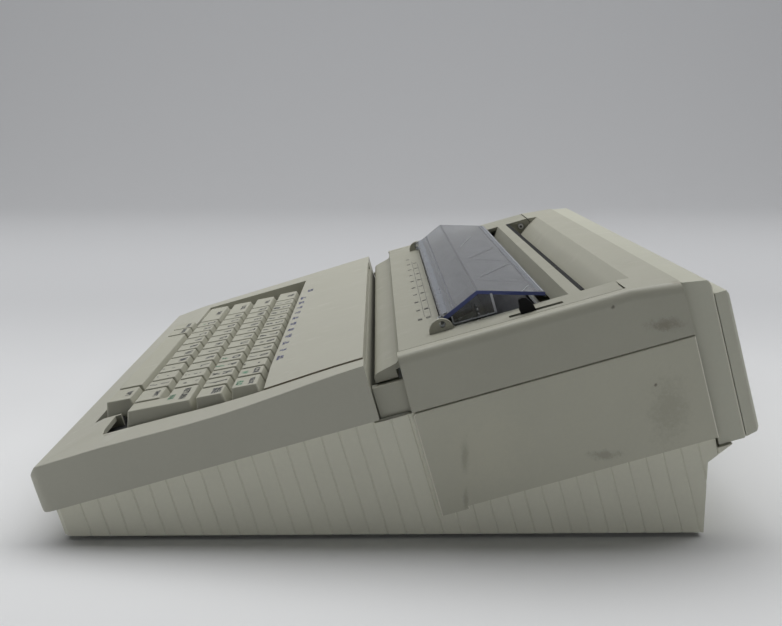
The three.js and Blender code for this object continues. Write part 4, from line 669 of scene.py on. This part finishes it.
def print_legends(name, marks, surface, body, material):
    """marks: (text, x, y, size) for every mark in this ink on one piece."""
    words = [printed(*mark, surface, wide=1.15, bold=0.34) for mark in marks]
    lay_print(name, words, body, material, KEY_PLANE)


def settle_key(piece, node):
    settle(piece, node, key_beige, node, place=KEY_PLANE, small=0, slot="keycap_plastic")


# %% [markdown]
# ## The four banks of letter and number keys
# Every cap of a bank is the same moulding, so it is modelled once and copied along the row.
# The caps of one bank move together on their rail, so they are joined into one piece.

# %% Banks
FRONT_MARK, REAR_MARK = -4.7, 2.0
BANKS = {
    "number_keys": (0, -0.3, ["1", "2", "3", "4", "5", "6", "7", "8", "9", "0", "-"], "!@#$%¢&*()_"),
    "upper_letter_keys": (1, 0, list("QWERTYUIOP") + ["½", "["], "          ¼]"),
    "home_letter_keys": (2, 0.25, list("ASDFGHJKL") + [";", "'"], '         :"'),
    "lower_letter_keys": (3, 0.75, list("ZXCVBNM") + [",", ".", "/"], "       ,.?"),
}
LIFT = [1.2, 0.4, 0, 0, 0]
SECOND = {("upper_letter_keys", 8): "±", ("upper_letter_keys", 9): "§", ("lower_letter_keys", 0): "°"}
for bank, (row, first, marks, shifted) in BANKS.items():
    middle_y = row_middle(row)
    pattern = key_cap("cap", 0, PITCH, row, LIFT[row])
    caps, dark, green = [], [], []
    for i, mark in enumerate(marks):
        copy = placed("cap", pattern.data.copy())
        copy.data.transform(Matrix.Translation((key_x(first + i), 0, 0)))
        centre_x = key_x(first + i + 0.5)
        caps += [copy, stem(centre_x, middle_y)]
        dark.append((mark, centre_x, middle_y + REAR_MARK, 7.4))
        if shifted[i] != " ":
            dark.append((shifted[i], centre_x, middle_y + FRONT_MARK, 5.8))
        if (bank, i) in SECOND:
            green.append((SECOND[bank, i], centre_x, middle_y + FRONT_MARK, 5.4))
    bpy.data.objects.remove(pattern)
    rail = block("rail", (key_x(first + 0.5), middle_y - 1.5, -CAP_HEIGHT),
                 (key_x(first + len(marks) - 0.5), middle_y + 1.5, -7.4))
    row_of_caps = joined(caps + [rail], bank + "_caps")
    print_legends(bank + "_legends", dark, row_of_caps, bank, dark_ink)
    if green:
        print_legends(bank + "_second_legends", green, row_of_caps, bank, green_ink)
    settle_key(row_of_caps, bank)

# %% [markdown]
# ## Keys that stand alone
# The wide keys at the ends of the rows use the same recipe at their own widths, so that the
# bevels stay as round as their neighbours' instead of being stretched.

# %% Single keys and the space bar
SINGLES = {
    "margin_key": (0, -2.1, -0.3, "MAR\nREL", ""), "correction_key": (0, 10.7, 11.7, "COR", "W"),
    "relocate_key": (0, 11.7, 13.1, "RELOC", "FLO"), "tab_key": (1, -2.1, 0, "TAB", ""),
    "backspace_key": (1, 12, 13.1, "BACK\nSPACE", ""), "shift_lock_key": (2, -2.1, 0.25, "LOCK", ""),
    "left_shift_key": (3, -2.1, 0.75, "SHIFT", ""), "right_shift_key": (3, 10.75, 12.1, "SHIFT", ""),
    "code_key": (4, 0.25, 1.35, "CODE", ""), "index_key": (4, 1.35, 2.45, "INDEX", ""),
    "repeat_key": (4, 10, 11.5, "RPT", ""),
}
for node, (row, left, right, mark, second) in SINGLES.items():
    middle_y, centre_x = row_middle(row), key_x((left + right) / 2)
    near_inset = 4.5 if node == "relocate_key" else SIDE_INSET
    cap = key_cap(node + "_cap", key_x(left), key_x(right), row, LIFT[row], near_inset)
    cap = joined([cap, stem(centre_x, middle_y)], node + "_cap")
    size = 3.3 if "\n" in mark else 3.8 if len(mark) > 3 and right - left < 1.5 else 4.8
    print_legends(node + "_legend", [(mark, centre_x, middle_y + REAR_MARK, size)], cap, node, dark_ink)
    if second:
        marks = [(second, centre_x, middle_y + FRONT_MARK, 4.4)]
        print_legends(node + "_second_legend", marks, cap, node, green_ink)
    settle_key(cap, node)

middle_y = row_middle(4)
bar = joined([key_cap("bar", key_x(2.5), key_x(9.95), 4), stem(key_x(3.5), middle_y),
              stem(key_x(8.95), middle_y)], "long_bar")
settle_key(bar, "space_bar")

# %% [markdown]
# ## The angled return key
# This key fills two rows. Two overlapping caps would leave a crease between them, so one low
# block is cut across, half of its left flank is pulled out, and then the whole outline rises
# in a single tapering inset.

# %% Return key
upper_middle = row_middle(2)
upper_front, upper_rear = upper_middle - PITCH / 2, upper_middle + PITCH / 2
lower_front = row_middle(3) - PITCH / 2
key_left, key_low_left, key_right = key_x(11.25), key_x(12.1), key_x(13.1)
corner_key = block("angled_return", (key_low_left + CAP_GAP, lower_front + CAP_GAP, -CAP_HEIGHT),
                   (key_right - CAP_GAP, upper_rear - CAP_GAP, -CAP_HEIGHT + 0.6))
open_up(corner_key)
cut_across((0, upper_front + CAP_GAP, 0), (0, 1, 0))
pick(corner_key, "FACE", lambda f: f.normal.x < -0.9 and f.calc_center_median().y > upper_front)
bpy.ops.mesh.extrude_region_move(TRANSFORM_OT_translate={"value": (key_left - key_low_left, 0, 0)})
take_all()
bpy.ops.mesh.dissolve_limited(angle_limit=math.radians(1))
pick(corner_key, "FACE", lambda f: f.normal.z > 0.9)
bpy.ops.mesh.inset(thickness=1.8, depth=CAP_HEIGHT - 0.6)
soften_rim(corner_key)
close_up()
return_stem = stem((key_low_left + key_right) / 2, (lower_front + upper_rear) / 2)
corner_key = joined([corner_key, return_stem], "angled_return")
for name, mark, material in (
        ("return_legend", ("RETURN", key_x(12.15), upper_middle + REAR_MARK, 5.0), dark_ink),
        ("return_second_legend", ("PAR", key_x(12.3), upper_middle - 5, 4.4), green_ink)):
    print_legends(name, [mark], corner_key, "return_key", material)
settle_key(corner_key, "return_key")

# %% [markdown]
# ## Steel, rubber, boards and dark plastics
# Under the cover are rods, plates, rollers and boards whose solids already have the right shape,
# so they keep their meshes. A flat grey would look like a model, so each kind gets marks of its
# own: rolling lines in steel, wear on rubber, tracks on a board.

# %% Materials of the mechanism


def metal(name, tint, roughness, drawn, tarnish):
    """Bare metal with fine lines along its rolling direction and a little tarnish."""
    material, tree, shader, place = new_material(name)
    along = add_node(tree, "ShaderNodeMapping", Scale=drawn)
    link(tree, place, along.inputs["Vector"])
    lines = noise(tree, along.outputs[0], 0.8, 3.0, 0.6)
    cloud = softly(tree, noise(tree, place, 22, 4.0, 0.6), 0.5, 0.8, 0, tarnish)
    shade = swing(tree, tint, lines, 0.88, 1.12)
    finish(tree, shader, blend_colours(tree, cloud, shade, (0.13, 0.11, 0.085, 1)),
           softly(tree, lines, 0.3, 0.7, roughness - 0.06, roughness + 0.1))
    shader.inputs["Metallic"].default_value = 1.0
    add_bump(tree, shader, lines, 0.2, 0.02)
    return material


def matte(name, tint, roughness, grain_mm, relief_mm, dust):
    """Rubber or dark plastic: fine grain, cloudy wear and grey dust on upward faces."""
    material, tree, shader, place = new_material(name)
    wear = add_node(tree, "ShaderNodeGroup", node_tree=dust_group, Dust=dust)
    shade = swing(tree, tint, noise(tree, place, 9, 4.0, 0.6), 0.7, 1.3)
    finish(tree, shader, blend_colours(tree, wear.outputs["Dust"], shade, (0.2, 0.19, 0.17, 1)),
           softly(tree, wear.outputs["Rubbing"], 0, 1, roughness, roughness - 0.15))
    add_bump(tree, shader, noise(tree, place, grain_mm, 2.0), 0.3, relief_mm)
    return material


def board(name, tint, copper):
    """Lacquered board: tracks run in straight steps, with tinned pads along them."""
    material, tree, shader, place = new_material(name)
    parts = add_node(tree, "ShaderNodeSeparateXYZ")
    link(tree, place, parts.inputs[0])
    tracks = 0.0
    for axis, cell in (("X", 2.54), ("Y", 5.08)):
        wave = maths(tree, "PINGPONG", parts.outputs[axis], cell / 2 * MM)
        line = softly(tree, wave, 0.62 * MM, 0.5 * MM)
        patch = softly(tree, noise(tree, place, 24 if cell < 3 else 31, 1.0), 0.5, 0.53)
        tracks = maths(tree, "MAXIMUM", tracks, product(tree, line, patch))
    pads = spots(tree, place, 5.1, 0.22)
    shade = blend_colours(tree, product(tree, tracks, 0.6), tint, copper)
    finish(tree, shader, blend_colours(tree, pads, shade, (0.55, 0.55, 0.52, 1)),
           softly(tree, pads, 0, 1, 0.35, 0.22))
    add_bump(tree, shader, maths(tree, "ADD", tracks, pads), 0.5, 0.05)
    return material


zinc_sheet = metal("zinc_sheet", (0.60, 0.61, 0.60, 1), 0.42, (0.2, 1, 1), 0.35)
ground_rod = metal("ground_rod", (0.68, 0.68, 0.67, 1), 0.22, (0.03, 1, 1), 0.15)
motor_can = metal("motor_can", (0.42, 0.42, 0.41, 1), 0.38, (0.05, 1, 1), 0.3)
soft_rubber = matte("soft_rubber", (0.030, 0.030, 0.031, 1), 0.75, 0.4, 0.03, 0.45)
roller_rubber = matte("platen_rubber", (0.022, 0.022, 0.024, 1), 0.55, 0.3, 0.01, 0.25)
belt_rubber = matte("belt_rubber", (0.018, 0.018, 0.018, 1), 0.7, 0.5, 0.03, 0.3)
black_satin = matte("black_satin", (0.016, 0.016, 0.017, 1), 0.42, 0.7, 0.03, 0.15)
grey_acetal = matte("grey_acetal", (0.16, 0.16, 0.165, 1), 0.4, 0.8, 0.02, 0.2)
switch_film = matte("switch_film", (0.11, 0.12, 0.12, 1), 0.3, 2.0, 0.01, 0.2)
green_board = board("green_board", (0.012, 0.075, 0.032, 1), (0.16, 0.24, 0.09, 1))
tan_board = board("tan_board", (0.20, 0.12, 0.045, 1), (0.33, 0.24, 0.12, 1))
iron_core = metal("iron_core", (0.17, 0.16, 0.15, 1), 0.5, (1, 1, 0.02), 0.5)

FINISHES = {
    zinc_sheet: ["left_frame_plate", "right_frame_plate", "front_crossbar", "paper_deflector"],
    ground_rod: ["platen_shaft", "carriage_rail", "guide_rail", "print_hammer"],
    motor_can: ["platen_motor", "carriage_motor", "wheel_motor"],
    soft_rubber: ["front_left_foot", "front_right_foot", "rear_left_foot", "rear_right_foot"],
    switch_film: ["contact_membrane"],
    roller_rubber: ["platen_roller", "feed_rollers"], belt_rubber: ["carriage_belt"],
    black_satin: ["keyboard_plate", "mains_switch", "mains_inlet", "ribbon_cassette", "print_wheel"],
    grey_acetal: ["platen_gear", "motor_pinion", "drive_pulley", "idler_pulley", "carriage_frame"],
    tan_board: ["keyboard_circuit_board"], green_board: ["main_circuit_board"], iron_core: ["transformer"],
}
for material, nodes in FINISHES.items():
    for node in nodes:
        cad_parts[node].data.materials[0] = material
print("solids finished in place:", sum(len(nodes) for nodes in FINISHES.values()))

# %% [markdown]
# ## The deck plate and its brown edge
# The plate behind the keys stands a little proud, and its edge shows as a thin brown line. A
# dark strip could lie in the joint, but from this low the line is the edge itself. So the
# plate's top is lifted, and the faces of its two ends get a dark brown of their own.

# %% Deck plate
PLATE_RISE = 0.9
brown_end_matte = matte("seam_dark_brown", (0.20, 0.175, 0.125, 1), 0.9, 0.6, 0.05, 0.0)
plate = copied("deck_panel", "deck_plate")
pick(plate, "VERT", lambda v: v.co.z > -0.6)
bpy.ops.transform.translate(value=(0, 0, PLATE_RISE))
cut_across((140, 0, 0), (1, 0, 0))
sag_near_rim(plate, 181)
close_up()
for material in (case_beige, brown_end_matte):
    plate.data.materials.append(material)
settle(plate, "case", None, "deck_panel", small=0.35, slot="case_plastic")
for face in plate.data.polygons:
    face.material_index = 1 if abs(face.normal.x) > 0.75 else 0
# Counts the end faces that take the dark brown.
print("dirty faces:", sum(face.material_index for face in plate.data.polygons))

# %% [markdown]
# ## Release blade, hinge screws and the gap behind the bar
# Three small things catch the eye: the black blade of the paper release, taller and rounder than
# its solid, the socket screws the cover swings on, and the dark gap between the bar and the
# chute. The gap's darkness is shade in the slot; it could be cut deeper, but only the darkness
# shows, so a black strip fills it as painted shade.

# %% Blade, screws and painted gap shade
blade_black = matte("blade_black", (0.005, 0.005, 0.005, 1), 0.55, 0.5, 0.02, 0.0)
blade = copied("paper_release_lever", "release_blade")
blade_top = max(v.co.z for v in bmesh.from_edit_mesh(blade.data).verts)
pick(blade, "VERT", lambda v: v.co.z > blade_top - 1.5)
bpy.ops.transform.translate(value=(0, -1.2, 2.4))
blade_black.node_tree.nodes["Principled BSDF"].inputs["Specular IOR Level"].default_value = 0.15
settle(blade, "paper_release_lever", blade_black, "paper_release_lever", small=0.9, angle=40,
       slot="black_plastic")


def disc(name, x, y, z, radius, thickness, sides):
    """A flat round or six-sided piece lying across x."""
    drop_all()
    bpy.ops.mesh.primitive_cylinder_add(vertices=sides, radius=radius, depth=thickness,
                                        location=(x, y, z), rotation=(0, math.radians(90), 0))
    piece = bpy.context.object
    bpy.ops.object.transform_apply(location=True, rotation=True, scale=True)
    piece.name = name
    open_up(piece)
    pick(piece, "FACE", lambda f: abs(f.normal.x) > 0.9)
    bpy.ops.mesh.inset(thickness=radius * 0.2, depth=0.12)
    close_up()
    return piece


screw_heads = joined([disc("head", x, 311.3, -5, 2.4, 0.7, 32) for x in (-153.7, 166.7)], "hinge_screws")
settle(screw_heads, "top_cover", motor_can, small=0.1, slot="steel")
sockets = joined([disc("socket", x, 311.3, -5, 1.2, 1.0, 6) for x in (-153.6, 166.6)], "screw_sockets")
settle(sockets, "top_cover", black_satin, small=0.05, slot="black_plastic")
# A black strip in the gap between bar and chute: painted shade for the shadowed slot.
gap_shadow_strip = block("painted_gap_shadow", (-153, 299.2, -3.2), (166, 301.7, 0.25))
settle(gap_shadow_strip, "case", blade_black, small=0.3, slot="black_plastic")

# %% [markdown]
# ## Contacts of the mains inlet
# The solid of the inlet has an empty socket. An empty socket reads as a hole, so the three
# flat contacts a lead would slide over are added, short enough to stay inside it.

# %% Inlet contacts
inlet_low, inlet_high = (Vector(corner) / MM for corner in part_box("mains_inlet"))
inlet_x, inlet_z = (inlet_low.x + inlet_high.x) / 2, (inlet_low.z + inlet_high.z) / 2
contacts = []
for x, z in ((inlet_x - 6, inlet_z - 2), (inlet_x, inlet_z + 2), (inlet_x + 6, inlet_z - 2)):
    contacts.append(block("contact", (x - 1, inlet_high.y - 12.5, z - 2), (x + 1, inlet_high.y - 3, z + 2)))
settle(joined(contacts, "inlet_contacts"), "case", ground_rod, place=LEVEL, small=0.3, slot="steel")

# %% [markdown]
# ## Printing on the case
# The top cover has a paper scale in two rows, one for each pitch, and blue labels name second
# functions of the number keys. These prints are thinner than a hair, so they are flat meshes
# laid on the moulding, not cut into it.

# %% Scale and labels


def thin_line(x0, x1, y0, y1, z=0.03):
    """A flat printed line, as a one-face mesh."""
    drop_all()
    bpy.ops.mesh.primitive_plane_add(size=1, location=((x0 + x1) / 2, (y0 + y1) / 2, z))
    line = bpy.context.object
    open_up(line)
    take_all()
    bpy.ops.transform.resize(value=(x1 - x0, y1 - y0, 1), center_override=line.location)
    close_up()
    bpy.ops.object.transform_apply(location=True, rotation=False, scale=False)
    return line


SCALE_STEP = 26.5
scale_marks = [thin_line(-97.6, 121.2, 214.9, 215.15), thin_line(-81, 126.3, 218.8, 219.05)]
for i in range(10):
    x = 125.6 - i * SCALE_STEP
    scale_marks.append(printed(str(100 - 10 * i), x, 211.9, 3.6, lift=0.03, bold=0.2))
    if i < 9:
        scale_marks.append(printed(str(120 - 12 * i), x, 216.9, 3.6, lift=0.03, bold=0.2))
lay_print("paper_scale", scale_marks, "top_cover", dark_ink)

LABELS = ["RIGHT\nMARGIN", "TAB\nSET", "TAB\nCLEAR", "CENTER\nTEXT", "BOLD\nPRINT", "UNDER\nLINE",
          "LINE\nSPACE", "PITCH\nSET", "PAPER\nUP", "PAPER\nDOWN", "LEFT\nMARGIN"]
labels = [printed(word, 126 - PITCH * i, 128, 2.6, lift=PLATE_RISE + 0.03) for i, word in enumerate(LABELS)]
labels.append(printed("MARGIN\nRELEASE", -91.9, 132, 2.6, lift=PLATE_RISE + 0.03))
lay_print("function_labels", labels, "case", blue_ink)

# %% [markdown]
# ## The smoked cover
# It is one bent sheet with a cheek at each end. Plain transparency would look like fog, so it
# is a thin closed body of tinted glass: light is dimmed on the way in and out. Its cut edges
# gather light and look deep blue, so those faces get a material of their own. Painted highlights
# and reflections (pale glints across the roof and the bright edges of the cheek) and the duller
# bands along the folds are thin strips laid on it.

# %% Smoked and edge glass


def tinted(name, tint, roughness, milk=0.0, haze_mm=0.004):
    material, tree, shader, place = new_material(name)
    smear = softly(tree, noise(tree, place, 14, 5.0, 0.65), 0.35, 0.75, roughness, roughness + 0.1)
    cloud = softly(tree, noise(tree, place, 30, 3.0), 0.3, 0.7)
    finish(tree, shader, swing(tree, tint, cloud, 0.9, 1.0), smear)
    shader.inputs["Transmission Weight"].default_value = 1.0 - milk
    shader.inputs["IOR"].default_value = 1.49
    add_bump(tree, shader, noise(tree, place, 3, 2.0), 0.4, haze_mm)
    return material


smoke = tinted("smoked_acrylic", (0.60, 0.62, 0.65, 1), 0.04, milk=0.05, haze_mm=0.0006)
water_clear = tinted("clear_acrylic", (0.86, 0.88, 0.92, 1), 0.02)
blue_edge = tinted("blue_cut_edge", (0.045, 0.065, 0.23, 1), 0.3, milk=0.9)
pale_edge = tinted("pale_cut_edge", (0.74, 0.76, 0.80, 1), 0.2, milk=0.8)

RIDGE_Y, RIDGE_Z = 246.2, 13.1
ROOF_UNDER, SLOPE_UNDER = -0.3075, 0.450


def sheet_under(y):
    return RIDGE_Z + (y - RIDGE_Y) * (ROOF_UNDER if y > RIDGE_Y else SLOPE_UNDER)


window = copied("clear_cover", "smoked_window")
for steep in (ROOF_UNDER, SLOPE_UNDER):
    cut_across((0, RIDGE_Y, RIDGE_Z), Vector((0, -steep, 1)).normalized())
close_up()
for material in (smoke, water_clear, blue_edge, pale_edge):
    window.data.materials.append(material)
for face in window.data.polygons:
    c = face.center
    end = c.x > 163.2 or c.x < -150.2
    if end and abs(face.normal.x) > 0.9 and c.y > 228:
        face.material_index = 2 if c.z > sheet_under(c.y) - 0.05 else 1
    elif c.z < sheet_under(c.y) - 0.3 and (end or c.y > 250):
        face.material_index = 3
print("faces by glass:", [sum(f.material_index == i for f in window.data.polygons) for i in range(4)])
settle(window, "clear_cover", None, "clear_cover", small=0, slot="smoky_clear")


def stroke(x0, y0, x1, y1, width, height_at):
    """A thin flat strip from x0, y0 to x1, y1 on the bent sheet."""
    a, b = (Vector((x, y, height_at(y))) for x, y in ((x0, y0), (x1, y1)))
    strip = thin_line(0, (b - a).length, -width / 2, width / 2, 0)
    strip.data.transform(Matrix.Translation(a) @ (b - a).to_track_quat("X", "Z").to_matrix().to_4x4())
    return strip


def across(y, width, height_at):
    """A strip along the whole sheet."""
    return stroke(-150, y, 163, y, width, height_at)


def over_roof(y):
    return 15.3 - (y - 246) * 0.3086


def over_slope(y):
    return 5.7 + (y - 223.5) * 0.4267


CHEEK = 165.3
# Pale strips that paint highlights and reflections on the sheet and the cheek's bright edges.
painted_glint_tint = tinted("painted_glint_tint", (0.46, 0.48, 0.51, 1), 0.3, milk=1.0)
dull_line = tinted("dull_line", (0.10, 0.105, 0.125, 1), 0.35, milk=1.0)
flange_tone = tinted("flange_tone", (0.15, 0.165, 0.19, 1), 0.15, milk=1.0)
glint_strokes = [stroke(*line, 0.5, over_roof) for line in (
    (40.0, 253.5, -9.4, 273.0), (121.7, 251.3, 61.9, 275.9), (165.9, 269.1, 144.5, 275.7),
    (-9.3, 251.1, -77.0, 264.6))]
glint_strokes.append(across(280.2, 0.35, over_roof))
glint_strokes += [block("bar", (CHEEK, *low), (CHEEK + 0.32, *high)) for low, high in (
    ((252.3, 0.6), (253.6, 11.6)), ((229.4, 0.6), (253, 1.3)), ((229.2, 1.3), (229.9, 5.2)))]
dull_strokes = [stroke(*line, 0.5, over_roof) for line in (
    (46.8, 245.9, 53.5, 277.7), (130.9, 248.4, 136.0, 276.2))]
dull_strokes += [across(246.6, 0.3, over_roof), across(276.4, 0.4, over_roof),
                 across(232.2, 0.9, over_slope)]
flange = [across(227.8, 6.4, over_slope), across(278.3, 2.6, over_roof)]
for name, strokes, material in (
        ("pale_glints", glint_strokes, painted_glint_tint), ("dull_lines", dull_strokes, dull_line),
        ("flange_band", flange, flange_tone)):
    settle(joined(strokes, name), "clear_cover", material, small=0, slot="smoky_clear")

# %% [markdown]
# ## Floor and light
# The picture shows a pale surface, soft light from overhead and no hard shadow. A plane with one
# edge extruded upwards and its fold bevelled gives a floor without a horizon in that view, and
# its paper is painted greyer with distance: painted shade for the light falling off towards the
# back. One large lamp overhead, beyond the machine, lights the deck, and a band low in the world
# lights the side that faces the viewer. More lamps would be easier to steer, but each would
# cast a shadow of its own.

# %% Floor and light
drop_all()
bpy.ops.mesh.primitive_plane_add(size=1, location=(0, 0, 0))
floor = bpy.context.object
floor.name = "studio_sweep"
open_up(floor)
take_all()
bpy.ops.transform.resize(value=(4.2, 4.4, 1), center_override=(0.125, 0, 0))
pick(floor, "EDGE", lambda e: max(v.co.x for v in e.verts) < -2.2)
bpy.ops.mesh.extrude_region_move(TRANSFORM_OT_translate={"value": (-0.2, 0, 2.6)})
pick(floor, "EDGE", lambda e: len(e.link_faces) == 2)
bpy.ops.mesh.bevel(offset=0.9, segments=16, affect="EDGES")
close_up()
bpy.ops.object.shade_smooth()
sweep_paper, paper_tree, paper_shader, paper_place = new_material("sweep_paper")
paper_tone = softly(paper_tree, noise(paper_tree, paper_place, 260, 3.0), 0.2, 0.8)
paper = blend_colours(paper_tree, paper_tone, colour(230, 231, 232), colour(235, 236, 237))
paper_parts = add_node(paper_tree, "ShaderNodeSeparateXYZ")
link(paper_tree, paper_place, paper_parts.inputs[0])
# Greyer paper further back: painted shade for the dimmer light there.
for nearer, farther, tint in ((0.3, -0.55, colour(181, 182, 184)), (-1.0, -1.9, colour(186, 187, 189))):
    distance = softly(paper_tree, paper_parts.outputs["X"], nearer, farther)
    paper = blend_colours(paper_tree, distance, paper, tint)
link(paper_tree, paper, paper_shader.inputs["Base Color"])
paper_shader.inputs["Roughness"].default_value = 0.9
floor.data.materials.append(sweep_paper)

panel_data = bpy.data.lights.new("overhead_panel", "AREA")
panel_data.shape = "RECTANGLE"
panel_data.size, panel_data.size_y = 1.34, 4.4
panel_data.energy = 56
panel = placed("overhead_panel", panel_data)
panel.location = (-0.62, 0, 1.6)
panel.rotation_euler = Vector((0, 0, -1.6)).to_track_quat("-Z", "Y").to_euler()

world = bpy.data.worlds.new("studio_air")
world.use_nodes = True
bpy.context.scene.world = world
sky = world.node_tree
air = sky.nodes["Background"]
rise = add_node(sky, "ShaderNodeSeparateXYZ")
link(sky, add_node(sky, "ShaderNodeTexCoord").outputs["Generated"], rise.inputs[0])
band = product(sky, softly(sky, rise.outputs["Z"], 0.09, 0.15, 1.9, 0.02),
               softly(sky, rise.outputs["Z"], -0.01, 0.01, 0.28, 1.0))
seen = softly(sky, rise.outputs["Z"], -0.1, 0.3, 0.46, 0.40)
path = add_node(sky, "ShaderNodeLightPath")
looking = path.outputs["Is Camera Ray"]
for kind in ("Is Glossy Ray", "Is Transmission Ray"):
    looking = maths(sky, "MAXIMUM", looking, path.outputs[kind])
lighting = product(sky, maths(sky, "SUBTRACT", 1.0, looking), band)
link(sky, maths(sky, "ADD", product(sky, looking, seen), lighting), air.inputs["Strength"])
air.inputs["Color"].default_value = (0.97, 0.98, 1, 1)

# %% [markdown]
# ## Counting the result
# The number of finished pieces is printed.

# %% Counting the result
print("pieces finished:", len(finished))
